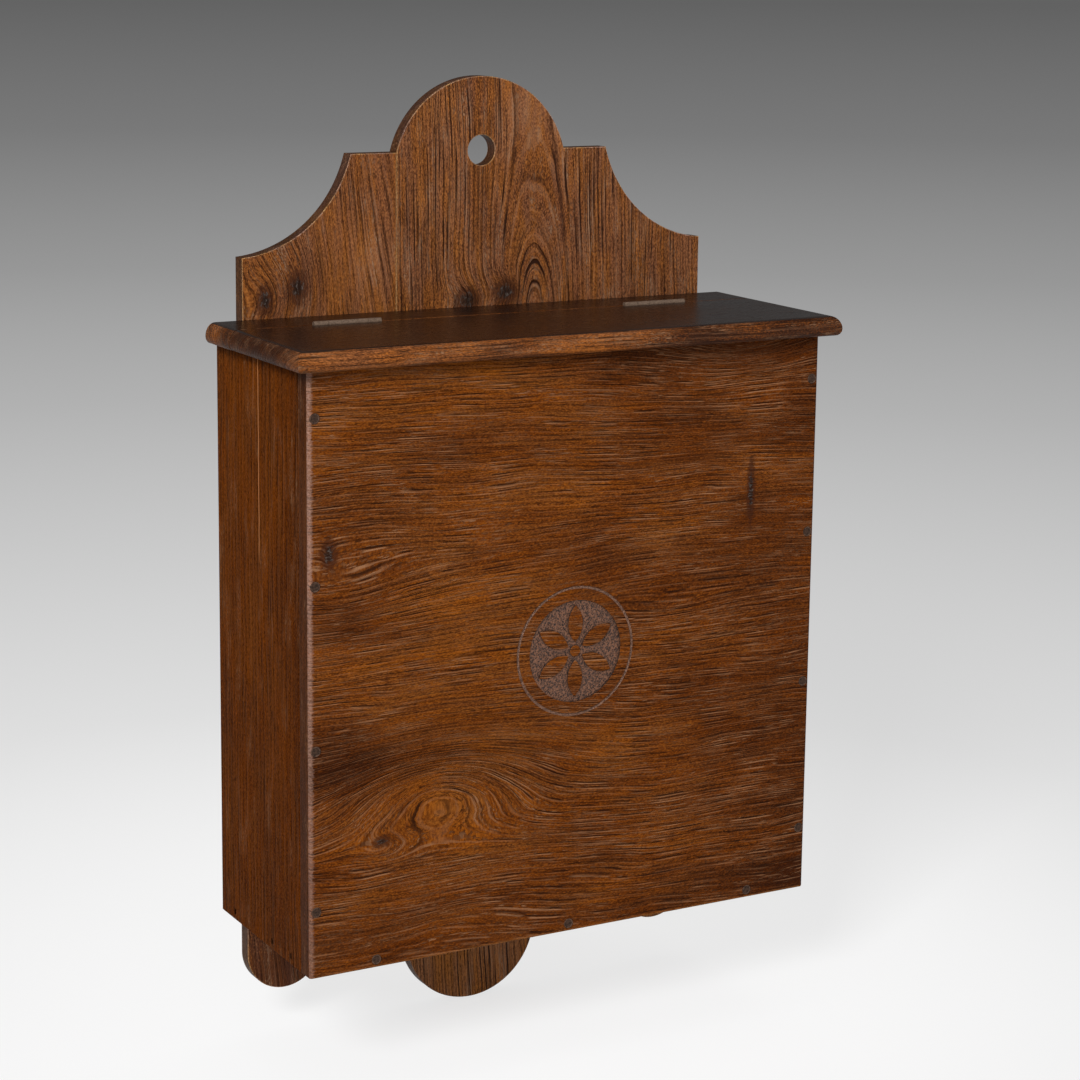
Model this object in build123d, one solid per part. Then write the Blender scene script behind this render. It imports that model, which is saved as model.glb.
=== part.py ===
"""A wall document box of oak boards: shaped backboard, lapped front and a hinged, moulded lid.

The origin is the centre of the hanging hole on the wall plane. +Z is up, +X is to the right
of someone who faces the box, and the front faces -Y. Heights are given above the box's underside.
"""
from build123d import *
import os

# Case boards
box_width = 350.0
box_height = 362.0
box_depth = 133.0
side_thickness = 12.7
front_thickness = 13.0
bottom_thickness = 9.5
back_thickness = 10.5
front_arris_radius = 2.2
front_edge_radius = 0.8

# Hinge rail and lid, cut from one moulded board
cover_thickness = 12.5
cover_left_overhang = 11.5
cover_right_overhang = 8.0
cover_front_overhang = 13.5
rail_depth = 36.0
lid_joint_gap = 0.8
lid_rest_gap = 0.3
nose_height = 4.4
nose_top_inset = 6.3
nose_bottom_inset = 3.2

# Backboard outline: the hole is level with the flat shoulders beside the crest
hole_diameter = 19.05
shoulder_rise = 37.5
scoop_rise = 60.6
scoop_width = 72.1
scoop_radius = 81.0
crest_half_width = 59.1
crest_rise = 46.0
foot_radius = 25.2
foot_drop = 29.8
lobe_radius = 47.3
lobe_drop = 38.8
lobe_offset = -3.5
arch_rise = 27.0

# Carved roundel on the front
roundel_offset = 2.0
roundel_height = 178.3
ring_radius = 39.7
ring_width = 1.6
ring_depth = 0.9
field_radius = 31.7
field_depth = 1.1
boss_radius = 3.6
petal_count = 6
petal_start = 5.6
petal_end = 28.6
petal_radius = 15.5

# Butt hinges
hinge_length = 44.45
hinge_end_margin = 54.5
knuckle_count = 5
knuckle_diameter = 3.8
knuckle_end_gap = 0.2
knuckle_clearance = 0.3
axis_rise = 0.3
leaf_reach = 10.0
leaf_thickness = 1.2
pin_diameter = 2.0
pin_running_clearance = 0.05

# Hinge screws
screws_per_leaf = 2
screw_spacing = 29.0
screw_drop = 6.2
screw_head_diameter = 4.6
screw_shank_diameter = 2.3
screw_length = 12.7
screw_slot_width = 0.7
screw_slot_depth = 0.4

# Cut nails with round heads in the front, cut brads in the sides and the back
nail_length = 32.0
nail_width = 2.4
nail_thickness = 2.0
nail_point_width = 0.8
nail_head_diameter = 6.2
nail_head_thickness = 0.9
brad_lip = 1.2
brad_lip_thickness = 1.6
front_nail_count = 4
front_nail_low_margin = 40.6
front_nail_high_margin = 27.8
front_nail_side_margin = 4.6
bottom_nail_count = 3
bottom_nail_margin = 43.5
side_brad_back_margin = 21.0
side_brad_front_margin = 27.0
side_brad_gap = 28.0
back_brad_count = 3
back_brad_margin = 42.3

# Places worked out from the sizes above
cover_top_z = -scoop_rise - shoulder_rise
case_top_z = cover_top_z - cover_thickness
underside_z = case_top_z - box_height
back_half_width = box_width / 2 - side_thickness
cover_left_x = -box_width / 2 - cover_left_overhang
cover_right_x = box_width / 2 + cover_right_overhang
cover_width = cover_right_x - cover_left_x
cover_front_y = -box_depth - cover_front_overhang
rail_front_y = -back_thickness - rail_depth
lid_back_y = rail_front_y - lid_joint_gap
axis_y = rail_front_y - lid_joint_gap / 2
axis_z = cover_top_z + axis_rise
knuckle_radius = knuckle_diameter / 2
knuckle_pitch = hinge_length / knuckle_count
relief_radius = knuckle_radius + knuckle_clearance
left_hinge_x = cover_left_x + hinge_end_margin + hinge_length / 2
right_hinge_x = cover_right_x - hinge_end_margin - hinge_length / 2
front_nail_x = box_width / 2 - front_nail_side_margin
bottom_nail_z = underside_z + bottom_thickness / 2
rail_nail_z = case_top_z + cover_thickness / 2


def board(x_range, y_range, z_range):
    """Square-edged board between three pairs of faces."""
    size = [high - low for low, high in (x_range, y_range, z_range)]
    centre = [(high + low) / 2 for low, high in (x_range, y_range, z_range)]
    return Pos(*centre) * Box(*size)


def spread(first, last, count):
    """Evenly spaced values from first to last."""
    return [first + (last - first) * i / (count - 1) for i in range(count)]


def nosing(tip, direction, low_z, high_z):
    """Two quarter ellipses: small below the nose, large above it. Direction is +1 or -1 along x."""
    nose_z = low_z + nose_height
    lower_centre = (tip - direction * nose_bottom_inset, nose_z)
    upper_centre = (tip - direction * nose_top_inset, nose_z)
    lower_start, upper_start = (-90, 0) if direction > 0 else (180, 90)
    lower = EllipticalCenterArc(lower_centre, nose_bottom_inset, nose_height, lower_start, arc_size=90)
    upper = EllipticalCenterArc(upper_centre, nose_top_inset, high_z - nose_z, upper_start, arc_size=90)
    return lower, upper


def cover_board(back_y, front_y, low_z):
    """Board with both ends moulded, from back_y forward to front_y."""
    right = nosing(cover_right_x, 1, low_z, cover_top_z)
    left = nosing(cover_left_x, -1, low_z, cover_top_z)
    underside = Line((cover_left_x + nose_bottom_inset, low_z), (cover_right_x - nose_bottom_inset, low_z))
    top = Line((cover_right_x - nose_top_inset, cover_top_z), (cover_left_x + nose_top_inset, cover_top_z))
    profile = Plane.XZ * make_face([*right, *left, underside, top])
    return Pos(0, back_y, 0) * extrude(profile, back_y - front_y)


def front_moulding_block(low_z):
    """Lid section in the YZ plane, with the moulding on its front edge, run across the box."""
    lower, upper = nosing(cover_front_y, -1, low_z, cover_top_z)
    low_y = cover_front_y + nose_bottom_inset
    high_y = cover_front_y + nose_top_inset
    underside = Line((low_y, low_z), (lid_back_y, low_z))
    back = Line((lid_back_y, low_z), (lid_back_y, cover_top_z))
    top = Line((lid_back_y, cover_top_z), (high_y, cover_top_z))
    profile = Plane.YZ * make_face([lower, upper, underside, back, top])
    return extrude(profile, cover_width, both=True)


def rod_x(radius, start_x, end_x):
    """Round rod along X, on the hinge axis."""
    middle = Pos((start_x + end_x) / 2, axis_y, axis_z)
    return middle * Rot(0, 90, 0) * Cylinder(radius, end_x - start_x)


def knuckle_band(index):
    """X range of one knuckle's share of a hinge centred on x = 0."""
    start = -hinge_length / 2 + index * knuckle_pitch
    return start, start + knuckle_pitch


def screw_places(direction):
    """Planes of a leaf's screws, head outwards. Direction is +1 in the rail and -1 in the lid."""
    first = -screw_spacing * (screws_per_leaf - 1) / 2
    face_y = axis_y + direction * lid_joint_gap / 2
    height = axis_z - screw_drop
    return [
        Plane(origin=(first + screw_spacing * i, face_y, height), z_dir=(0, -direction, 0))
        for i in range(screws_per_leaf)
    ]


def screw_form():
    """Countersunk screw along z before its slot is cut, with its head as deep as the leaf."""
    head_radius = screw_head_diameter / 2
    shank_radius = screw_shank_diameter / 2
    outline = Polyline(
        (0, 0),
        (head_radius, 0),
        (shank_radius, -leaf_thickness),
        (shank_radius, -screw_length),
        (0, -screw_length),
        close=True,
    )
    return revolve(Plane.XZ * make_face(outline), Axis.Z)


def countersunk_screw():
    """Slot-headed wood screw along z, its head's flat face at z = 0."""
    slot = Box(screw_head_diameter, screw_slot_width, 2 * screw_slot_depth)
    return screw_form() - slot


def leaf(direction):
    """One hinge leaf about x = 0 with its own knuckles. Direction is +1 in the rail and -1 in the lid."""
    own_parity = 0 if direction > 0 else 1
    inner_y = axis_y + direction * lid_joint_gap / 2
    outer_y = inner_y + direction * leaf_thickness
    plate = board(
        (-hinge_length / 2, hinge_length / 2),
        (min(inner_y, outer_y), max(inner_y, outer_y)),
        (axis_z - leaf_reach, axis_z),
    )
    shape = plate + rod_x(knuckle_radius, -hinge_length / 2, hinge_length / 2)
    for index in range(knuckle_count):
        start, end = knuckle_band(index)
        if index % 2 != own_parity:
            shape -= rod_x(relief_radius, start - knuckle_end_gap / 2, end + knuckle_end_gap / 2)
    bore_radius = pin_diameter / 2
    if direction < 0:
        bore_radius += pin_running_clearance
    shape -= rod_x(bore_radius, -hinge_length, hinge_length)
    return cut_all(shape, [place * screw_form() for place in screw_places(direction)])


def hinge_mortise(direction):
    """Space that a leaf, its knuckles and its screws need in the board's edge, about x = 0."""
    inner_y = axis_y
    outer_y = axis_y + direction * (lid_joint_gap / 2 + leaf_thickness)
    housing = board(
        (-hinge_length / 2, hinge_length / 2),
        (min(inner_y, outer_y), max(inner_y, outer_y)),
        (axis_z - leaf_reach, axis_z),
    )
    relief_half_length = hinge_length / 2 + knuckle_clearance
    space = housing + rod_x(relief_radius, -relief_half_length, relief_half_length)
    for place in screw_places(direction):
        space += place * screw_form()
    return space


def cut_shank():
    """Shank sheared from plate, tapered from z = 0 down to its blunt point."""
    half_width = nail_width / 2
    half_point = nail_point_width / 2
    outline = Polyline(
        (-half_width, 0),
        (half_width, 0),
        (half_point, -nail_length),
        (-half_point, -nail_length),
        close=True,
    )
    return extrude(Plane.XZ * make_face(outline), nail_thickness / 2, both=True)


def nail():
    """Cut nail along z with the face of its round head at z = 0."""
    head = Pos(0, 0, -nail_head_thickness / 2) * Cylinder(nail_head_diameter / 2, nail_head_thickness)
    return head + cut_shank()


def brad():
    """Cut brad along z, its head a lip to one side, flush with z = 0."""
    lip_centre = (nail_width / 2, 0, -brad_lip_thickness / 2)
    return cut_shank() + Pos(*lip_centre) * Box(2 * brad_lip, nail_thickness, brad_lip_thickness)


def driven(fastener, places, direction):
    """Copies of a nail or brad with their heads at these points, facing along direction."""
    return [Plane(origin=place, x_dir=(0, 0, 1), z_dir=direction) * fastener for place in places]


def cut_all(shape, tools):
    """Shape with each tool's space removed."""
    for tool in tools:
        shape -= tool
    return shape


def backboard_outline():
    """Face of the whole backboard in the XZ plane: crest, scooped shoulders, feet and lobe."""
    shoulder_z = -scoop_rise
    foot_z = underside_z - foot_drop
    lobe_z = underside_z - lobe_drop
    foot_inner_x = back_half_width - 2 * foot_radius
    edges = [ThreePointArc((-crest_half_width, 0), (0, crest_rise), (crest_half_width, 0))]
    for side in (-1, 1):
        edge_x = side * back_half_width
        scoop_x = side * (back_half_width - scoop_width)
        foot_x = side * (back_half_width - foot_radius)
        inner_x = side * foot_inner_x
        lobe_x = lobe_offset + side * lobe_radius
        arch_half_width = abs(inner_x - lobe_x) / 2
        arch_centre = ((inner_x + lobe_x) / 2, foot_z)
        edges += [
            Line((side * crest_half_width, 0), (scoop_x, 0)),
            RadiusArc((scoop_x, 0), (edge_x, shoulder_z), -side * scoop_radius),
            Line((edge_x, shoulder_z), (edge_x, foot_z)),
            ThreePointArc((edge_x, foot_z), (foot_x, foot_z - foot_radius), (inner_x, foot_z)),
            EllipticalCenterArc(arch_centre, arch_half_width, arch_rise, 0, arc_size=180),
            Line((lobe_x, foot_z), (lobe_x, lobe_z)),
        ]
    lobe_left = (lobe_offset - lobe_radius, lobe_z)
    lobe_right = (lobe_offset + lobe_radius, lobe_z)
    edges.append(ThreePointArc(lobe_left, (lobe_offset, lobe_z - lobe_radius), lobe_right))
    return Plane.XZ * make_face(edges)


def whole_backboard():
    """Backboard before it is parted at its glue joint, with the hanging hole."""
    blank = extrude(backboard_outline(), back_thickness)
    hole = Rot(90, 0, 0) * Cylinder(hole_diameter / 2, 4 * back_thickness)
    return blank - hole


def petal():
    """One pointed petal of the roundel along +x, between two arcs."""
    start = (petal_start, 0)
    end = (petal_end, 0)
    return make_face([RadiusArc(start, end, petal_radius), RadiusArc(end, start, petal_radius)])


def roundel_cutter():
    """Incised ring and sunk field of the roundel, its petals and boss left standing."""
    ground = Circle(field_radius) - Circle(boss_radius)
    for index in range(petal_count):
        ground -= Rot(0, 0, 90 + index * 360 / petal_count) * petal()
    ring = Circle(ring_radius + ring_width / 2) - Circle(ring_radius - ring_width / 2)
    centre = (roundel_offset, -box_depth, underside_z + roundel_height)
    face = Plane(origin=centre, x_dir=(1, 0, 0), z_dir=(0, 1, 0))
    return extrude(face * ground, field_depth) + extrude(face * ring, ring_depth)


def build_front(nails):
    """Front panel, lapped over the sides, with its worn arrises and the roundel."""
    panel = board(
        (-box_width / 2, box_width / 2),
        (-box_depth, -box_depth + front_thickness),
        (underside_z, case_top_z),
    )
    face_edges = panel.edges().group_by(Axis.Y)[0]
    panel = fillet(face_edges.filter_by(Axis.Z), front_arris_radius)
    long_edges = panel.edges().filter_by(Axis.X).group_by(Axis.Y)[0]
    panel = fillet(long_edges, front_edge_radius)
    return cut_all(panel - roundel_cutter(), nails)


# Nail and brad groups
low_nail_z = underside_z + front_nail_low_margin
high_nail_z = case_top_z - front_nail_high_margin
front_nail_zs = spread(low_nail_z, high_nail_z, front_nail_count)
bottom_nail_x = box_width / 2 - bottom_nail_margin
left_front_nails = driven(nail(), [(-front_nail_x, -box_depth, z) for z in front_nail_zs], (0, -1, 0))
right_front_nails = driven(nail(), [(front_nail_x, -box_depth, z) for z in front_nail_zs], (0, -1, 0))
bottom_nail_xs = spread(-bottom_nail_x, bottom_nail_x, bottom_nail_count)
bottom_front_places = [(x, -box_depth, bottom_nail_z) for x in bottom_nail_xs]
bottom_front_nails = driven(nail(), bottom_front_places, (0, -1, 0))
last_side_brad_y = -box_depth + side_brad_front_margin
side_brad_ys = (-side_brad_back_margin, last_side_brad_y + side_brad_gap, last_side_brad_y)
left_side_brads = driven(brad(), [(-box_width / 2, y, bottom_nail_z) for y in side_brad_ys], (-1, 0, 0))
right_side_brads = driven(brad(), [(box_width / 2, y, bottom_nail_z) for y in side_brad_ys], (1, 0, 0))
back_brad_x = back_half_width - back_brad_margin
back_brad_xs = spread(-back_brad_x, back_brad_x, back_brad_count)
bottom_back_brads = driven(brad(), [(x, 0, bottom_nail_z) for x in back_brad_xs], (0, 1, 0))
rail_back_brads = driven(brad(), [(x, 0, rail_nail_z) for x in back_brad_xs], (0, 1, 0))

# Boards
inner_y_range = (-box_depth + front_thickness, -back_thickness)
side_z_range = (underside_z, case_top_z)
left_side = board((-box_width / 2, -back_half_width), (inner_y_range[0], 0), side_z_range)
left_side = cut_all(left_side, left_front_nails + left_side_brads)
right_side = board((back_half_width, box_width / 2), (inner_y_range[0], 0), side_z_range)
right_side = cut_all(right_side, right_front_nails + right_side_brads)
bottom_board = board(
    (-back_half_width, back_half_width), inner_y_range, (underside_z, underside_z + bottom_thickness)
)
bottom_board = cut_all(
    bottom_board, bottom_front_nails + left_side_brads + right_side_brads + bottom_back_brads
)
front_panel = build_front(left_front_nails + right_front_nails + bottom_front_nails)
backboard = cut_all(whole_backboard(), bottom_back_brads + rail_back_brads)
glue_joint = Plane(origin=(-crest_half_width, 0, 0), z_dir=(1, 0, 0))
backboard_left_board = split(backboard, bisect_by=glue_joint, keep=Keep.BOTTOM)
backboard_right_board = split(backboard, bisect_by=glue_joint, keep=Keep.TOP)

# Hinge rail and lid
hinge_rail = cut_all(cover_board(-back_thickness, rail_front_y, case_top_z), rail_back_brads)
lid_underside_z = case_top_z + lid_rest_gap
lid = cover_board(lid_back_y, cover_front_y, lid_underside_z) & front_moulding_block(lid_underside_z)
hinge_places = {"left": Pos(left_hinge_x, 0, 0), "right": Pos(right_hinge_x, 0, 0)}
rail_mortise = hinge_mortise(1)
lid_mortise = hinge_mortise(-1)
for place in hinge_places.values():
    hinge_rail -= place * rail_mortise
    lid -= place * lid_mortise

nodes = {
    "backboard_left_board": backboard_left_board,
    "backboard_right_board": backboard_right_board,
    "left_side": left_side,
    "right_side": right_side,
    "bottom_board": bottom_board,
    "front_panel": front_panel,
    "hinge_rail": hinge_rail,
    "lid": lid,
    "front_left_nails": Compound(children=left_front_nails),
    "front_right_nails": Compound(children=right_front_nails),
    "front_bottom_nails": Compound(children=bottom_front_nails),
    "left_side_brads": Compound(children=left_side_brads),
    "right_side_brads": Compound(children=right_side_brads),
    "bottom_back_brads": Compound(children=bottom_back_brads),
    "hinge_rail_back_brads": Compound(children=rail_back_brads),
}

# Hinges
rail_leaf = leaf(1)
lid_leaf = leaf(-1)
hinge_pin = rod_x(pin_diameter / 2, -hinge_length / 2, hinge_length / 2)
screw = countersunk_screw()
for name, place in hinge_places.items():
    nodes[f"{name}_hinge_rail_leaf"] = place * rail_leaf
    nodes[f"{name}_hinge_lid_leaf"] = place * lid_leaf
    nodes[f"{name}_hinge_pin"] = place * hinge_pin
    rail_screws = [place * (seat * screw) for seat in screw_places(1)]
    lid_screws = [place * (seat * screw) for seat in screw_places(-1)]
    nodes[f"{name}_hinge_rail_screws"] = Compound(children=rail_screws)
    nodes[f"{name}_hinge_lid_screws"] = Compound(children=lid_screws)

os.makedirs("parts", exist_ok=True)
for name, shape in nodes.items():
    export_step(shape, f"parts/{name}.step")
print("hinge axis", round(axis_y, 3), round(axis_z, 3), "nodes", len(nodes))
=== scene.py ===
"""Wall document box in brushed oak: modelled and dressed piece by piece over its CAD frame.

Lengths are in millimetres in the classes and become metres where a mesh is made. The origin is
the centre of the hanging hole on the wall plane, +Z is up and the front faces -Y.
"""

import logging
import math
from contextlib import contextmanager
from dataclasses import dataclass, field
from enum import Enum
from functools import partial, reduce
from typing import Callable, Iterator, Sequence

import bmesh
import bpy
from mathutils import Euler, Matrix, Vector

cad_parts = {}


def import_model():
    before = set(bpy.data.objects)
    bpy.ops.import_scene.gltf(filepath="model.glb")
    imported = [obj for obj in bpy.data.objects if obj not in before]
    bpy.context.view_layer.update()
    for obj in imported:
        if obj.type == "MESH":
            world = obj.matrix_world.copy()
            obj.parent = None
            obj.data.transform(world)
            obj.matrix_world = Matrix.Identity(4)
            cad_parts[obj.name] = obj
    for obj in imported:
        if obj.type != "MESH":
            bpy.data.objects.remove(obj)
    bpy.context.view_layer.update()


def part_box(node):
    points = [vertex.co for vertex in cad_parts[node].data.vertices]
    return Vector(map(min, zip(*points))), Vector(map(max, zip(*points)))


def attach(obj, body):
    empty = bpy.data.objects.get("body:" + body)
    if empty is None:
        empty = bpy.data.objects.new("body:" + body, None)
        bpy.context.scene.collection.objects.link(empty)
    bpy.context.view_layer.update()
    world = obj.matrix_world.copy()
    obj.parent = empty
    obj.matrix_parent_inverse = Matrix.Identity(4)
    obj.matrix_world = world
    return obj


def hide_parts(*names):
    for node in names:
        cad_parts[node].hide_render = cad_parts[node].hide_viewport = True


Colour = tuple[float, float, float]
Point = tuple[float, float, float]
Piece = bpy.types.Object
Finish = bpy.types.Material
Owner = bpy.types.Material | bpy.types.World
Socket = bpy.types.NodeSocket

MM = 0.001
# Two places closer than this, in millimetres, count as one.
NEAR = 0.01
# Vertices closer than this, in millimetres, are merged, and seams flatter than this, in degrees, go.
DOUBLES = 0.005
FLAT_SEAM = 0.2
# A face looks a way when at least this much of its normal points there.
LOOKS = 0.9
# The front's nails, by the CAD node of each row.
NAIL_ROWS = {"front_left_nails": 4, "front_right_nails": 4, "front_bottom_nails": 3}

log = logging.getLogger("document_box")


class Body(Enum):
    """The two bodies that the lid hinge joins."""

    CASE = "case"
    LID = "lid"


class Grain(Enum):
    """How a board is laid: the direction along its grain, and the direction its best face looks."""

    ACROSS_FRONT = ((1, 0, 0), (0, -1, 0))
    UP_FRONT = ((0, 0, 1), (0, -1, 0))
    UP_LEFT = ((0, 0, 1), (-1, 0, 0))
    UP_RIGHT = ((0, 0, 1), (1, 0, 0))
    ACROSS_TOP = ((1, 0, 0), (0, 0, 1))
    ACROSS_UNDER = ((1, 0, 0), (0, 0, -1))

    def turn(self) -> Euler:
        """Return the turn that lays the grain along x and the face along z."""
        along, outward = (Vector(direction) for direction in self.value)
        return Matrix((along, outward.cross(along), outward)).to_euler()


# ---------------------------------------------------------------- modelling


class Bench:
    """The modelling operators that every piece goes through."""

    @staticmethod
    def pick(*pieces: Piece) -> None:
        """Select these objects alone and make the first one active.

        Args:
            *pieces: The objects.
        """
        bpy.ops.object.select_all(action="DESELECT")
        for piece in pieces:
            piece.select_set(True)
        bpy.context.view_layer.objects.active = pieces[0]

    @staticmethod
    def settle(piece: Piece) -> Piece:
        """Put a piece's place, turn and size into its mesh, so that its object sits at the origin.

        Args:
            piece: The object to settle.

        Returns:
            The same object.
        """
        Bench.pick(piece)
        bpy.ops.object.transform_apply(location=True, rotation=True, scale=True)
        return piece

    @staticmethod
    def added(name: str) -> Piece:
        """Name the primitive that was just added, settle it and return it."""
        bpy.context.object.name = name
        return Bench.settle(bpy.context.object)

    @staticmethod
    def block(name: str, low: Point, high: Point) -> Piece:
        """Make a block between two corners.

        Args:
            name: Name of the new object.
            low: Lowest corner, in millimetres.
            high: Highest corner, in millimetres.

        Returns:
            The new object.
        """
        size = [(b - a) * MM for a, b in zip(low, high)]
        centre = [(a + b) / 2 * MM for a, b in zip(low, high)]
        bpy.ops.object.select_all(action="DESELECT")
        bpy.ops.mesh.primitive_cube_add(size=1.0, location=centre, scale=size)
        return Bench.added(name)

    @staticmethod
    def rod(name: str, radius: float, start: Point, end: Point, sides: int = 96) -> Piece:
        """Make a round rod between two points.

        Args:
            name: Name of the new object.
            radius: Radius in millimetres.
            start: Centre of one end, in millimetres.
            end: Centre of the other end, in millimetres.
            sides: Number of sides round the rod.

        Returns:
            The new object.
        """
        first, last = Vector(start) * MM, Vector(end) * MM
        axis = last - first
        bpy.ops.object.select_all(action="DESELECT")
        bpy.ops.mesh.primitive_cylinder_add(
            vertices=sides,
            radius=radius * MM,
            depth=axis.length,
            location=(first + last) / 2,
            rotation=axis.to_track_quat("Z", "Y").to_euler(),
        )
        return Bench.added(name)

    @staticmethod
    def modify(piece: Piece, kind: str, **settings: object) -> Piece:
        """Put a modifier on a piece and apply it.

        Args:
            piece: The object to work.
            kind: Blender's name of the modifier's type.
            **settings: The modifier's own properties.

        Returns:
            The same object.
        """
        Bench.pick(piece)
        modifier = piece.modifiers.new(kind.lower(), kind)
        for key, value in settings.items():
            setattr(modifier, key, value)
        bpy.ops.object.modifier_apply(modifier=modifier.name)
        return piece

    @staticmethod
    def boolean(piece: Piece, tool: Piece, operation: str) -> Piece:
        """Join, cut or meet a piece with a tool, and discard the tool.

        Args:
            piece: The object that is worked.
            tool: The object that works it.
            operation: UNION, DIFFERENCE or INTERSECT.

        Returns:
            The worked piece.
        """
        settings = {"operation": operation, "solver": "EXACT", "material_mode": "TRANSFER"}
        Bench.modify(piece, "BOOLEAN", object=tool, **settings)
        bpy.data.objects.remove(tool)
        return piece

    @staticmethod
    def join(pieces: Sequence[Piece], name: str) -> Piece:
        """Join several objects into one and name it.

        Args:
            pieces: The objects, of which the first one stays.
            name: Name of the joined object.

        Returns:
            The joined object.
        """
        Bench.pick(*pieces)
        if len(pieces) > 1:
            bpy.ops.object.join()
        pieces[0].name = name
        return pieces[0]

    @staticmethod
    def duplicate(piece: Piece, name: str, move: Point = (0, 0, 0)) -> Piece:
        """Copy a piece with a mesh of its own and shift the copy.

        Args:
            piece: The object to copy.
            name: Name of the copy.
            move: Shift in millimetres.

        Returns:
            The copy.
        """
        Bench.pick(piece)
        bpy.ops.object.duplicate(linked=False)
        bpy.ops.transform.translate(value=[step * MM for step in move])
        return Bench.added(name)

    @staticmethod
    @contextmanager
    def editing(piece: Piece) -> Iterator[None]:
        """Open a piece in edit mode with nothing selected, and close it afterwards.

        Args:
            piece: The object to edit.

        Yields:
            Nothing, while the piece is open.
        """
        Bench.pick(piece)
        bpy.ops.object.mode_set(mode="EDIT")
        bpy.ops.mesh.select_mode(type="VERT")
        bpy.ops.mesh.select_all(action="DESELECT")
        yield
        bpy.ops.object.mode_set(mode="OBJECT")

    @staticmethod
    def pick_edges(piece: Piece, test: Callable[[Vector, Vector], bool]) -> None:
        """Select the edges that pass a test. Used in edit mode.

        Args:
            piece: The object that is being edited.
            test: The test, of an edge's two ends in millimetres.
        """
        bpy.ops.mesh.select_mode(type="EDGE")
        shape = bmesh.from_edit_mesh(piece.data)
        for edge in shape.edges:
            first, last = (corner.co / MM for corner in edge.verts)
            edge.select_set(test(first, last))
        bmesh.update_edit_mesh(piece.data)

    @staticmethod
    def pick_faces(piece: Piece, test: Callable[[Vector], bool]) -> None:
        """Select the faces that pass a test. Used in edit mode.

        Args:
            piece: The object that is being edited.
            test: The test, of a face's normal.
        """
        bpy.ops.mesh.select_mode(type="FACE")
        shape = bmesh.from_edit_mesh(piece.data)
        for face in shape.faces:
            face.select_set(test(face.normal))
        bmesh.update_edit_mesh(piece.data)

    @staticmethod
    def face_outwards() -> None:
        """Point every face of the piece that is being edited outwards."""
        bpy.ops.mesh.select_all(action="SELECT")
        bpy.ops.mesh.normals_make_consistent(inside=False)

    @staticmethod
    def soften(piece: Piece, width: float, segments: int = 3, sharpness: float = 32.0) -> Piece:
        """Round every edge that is still sharp.

        Args:
            piece: The object to soften.
            width: Width of the rounding in millimetres.
            segments: Number of facets across the rounding.
            sharpness: Least angle of an edge that is rounded, in degrees.

        Returns:
            The same object.
        """
        return Bench.modify(
            piece,
            "BEVEL",
            width=width * MM,
            segments=segments,
            limit_method="ANGLE",
            angle_limit=math.radians(sharpness),
            use_clamp_overlap=False,
            miter_outer="MITER_ARC",
        )

    @staticmethod
    def clean(piece: Piece) -> Piece:
        """Merge doubled vertices, dissolve flat seams and point every face outwards.

        Args:
            piece: The object to clean.

        Returns:
            The same object.
        """
        with Bench.editing(piece):
            bpy.ops.mesh.select_all(action="SELECT")
            bpy.ops.mesh.remove_doubles(threshold=DOUBLES * MM)
            bpy.ops.mesh.dissolve_limited(angle_limit=math.radians(FLAT_SEAM))
            Bench.face_outwards()
        return piece

    @staticmethod
    def smooth(piece: Piece, angle: float = 35.0) -> Piece:
        """Shade a piece smooth, and keep its large faces flat.

        Args:
            piece: The object to shade.
            angle: Least angle of an edge that stays sharp, in degrees.

        Returns:
            The same object.
        """
        Bench.pick(piece)
        bpy.ops.object.shade_smooth_by_angle(angle=math.radians(angle))
        return Bench.modify(piece, "WEIGHTED_NORMAL", weight=100, keep_sharp=True)

    @staticmethod
    def paint(
        piece: Piece,
        finishes: Sequence[Finish],
        choose: Callable[[bpy.types.MeshPolygon], int] | None = None,
    ) -> Piece:
        """Give a piece its materials, and let a rule choose one of them for each face.

        Args:
            piece: The object to paint.
            finishes: Its materials, in the order of their slots.
            choose: Which slot a face gets. None gives every face the first.

        Returns:
            The same object.
        """
        piece.data.materials.clear()
        for finish in finishes:
            piece.data.materials.append(finish)
        for face in piece.data.polygons if choose else ():
            face.material_index = int(choose(face))
        return piece


# ---------------------------------------------------------------- materials


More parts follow.
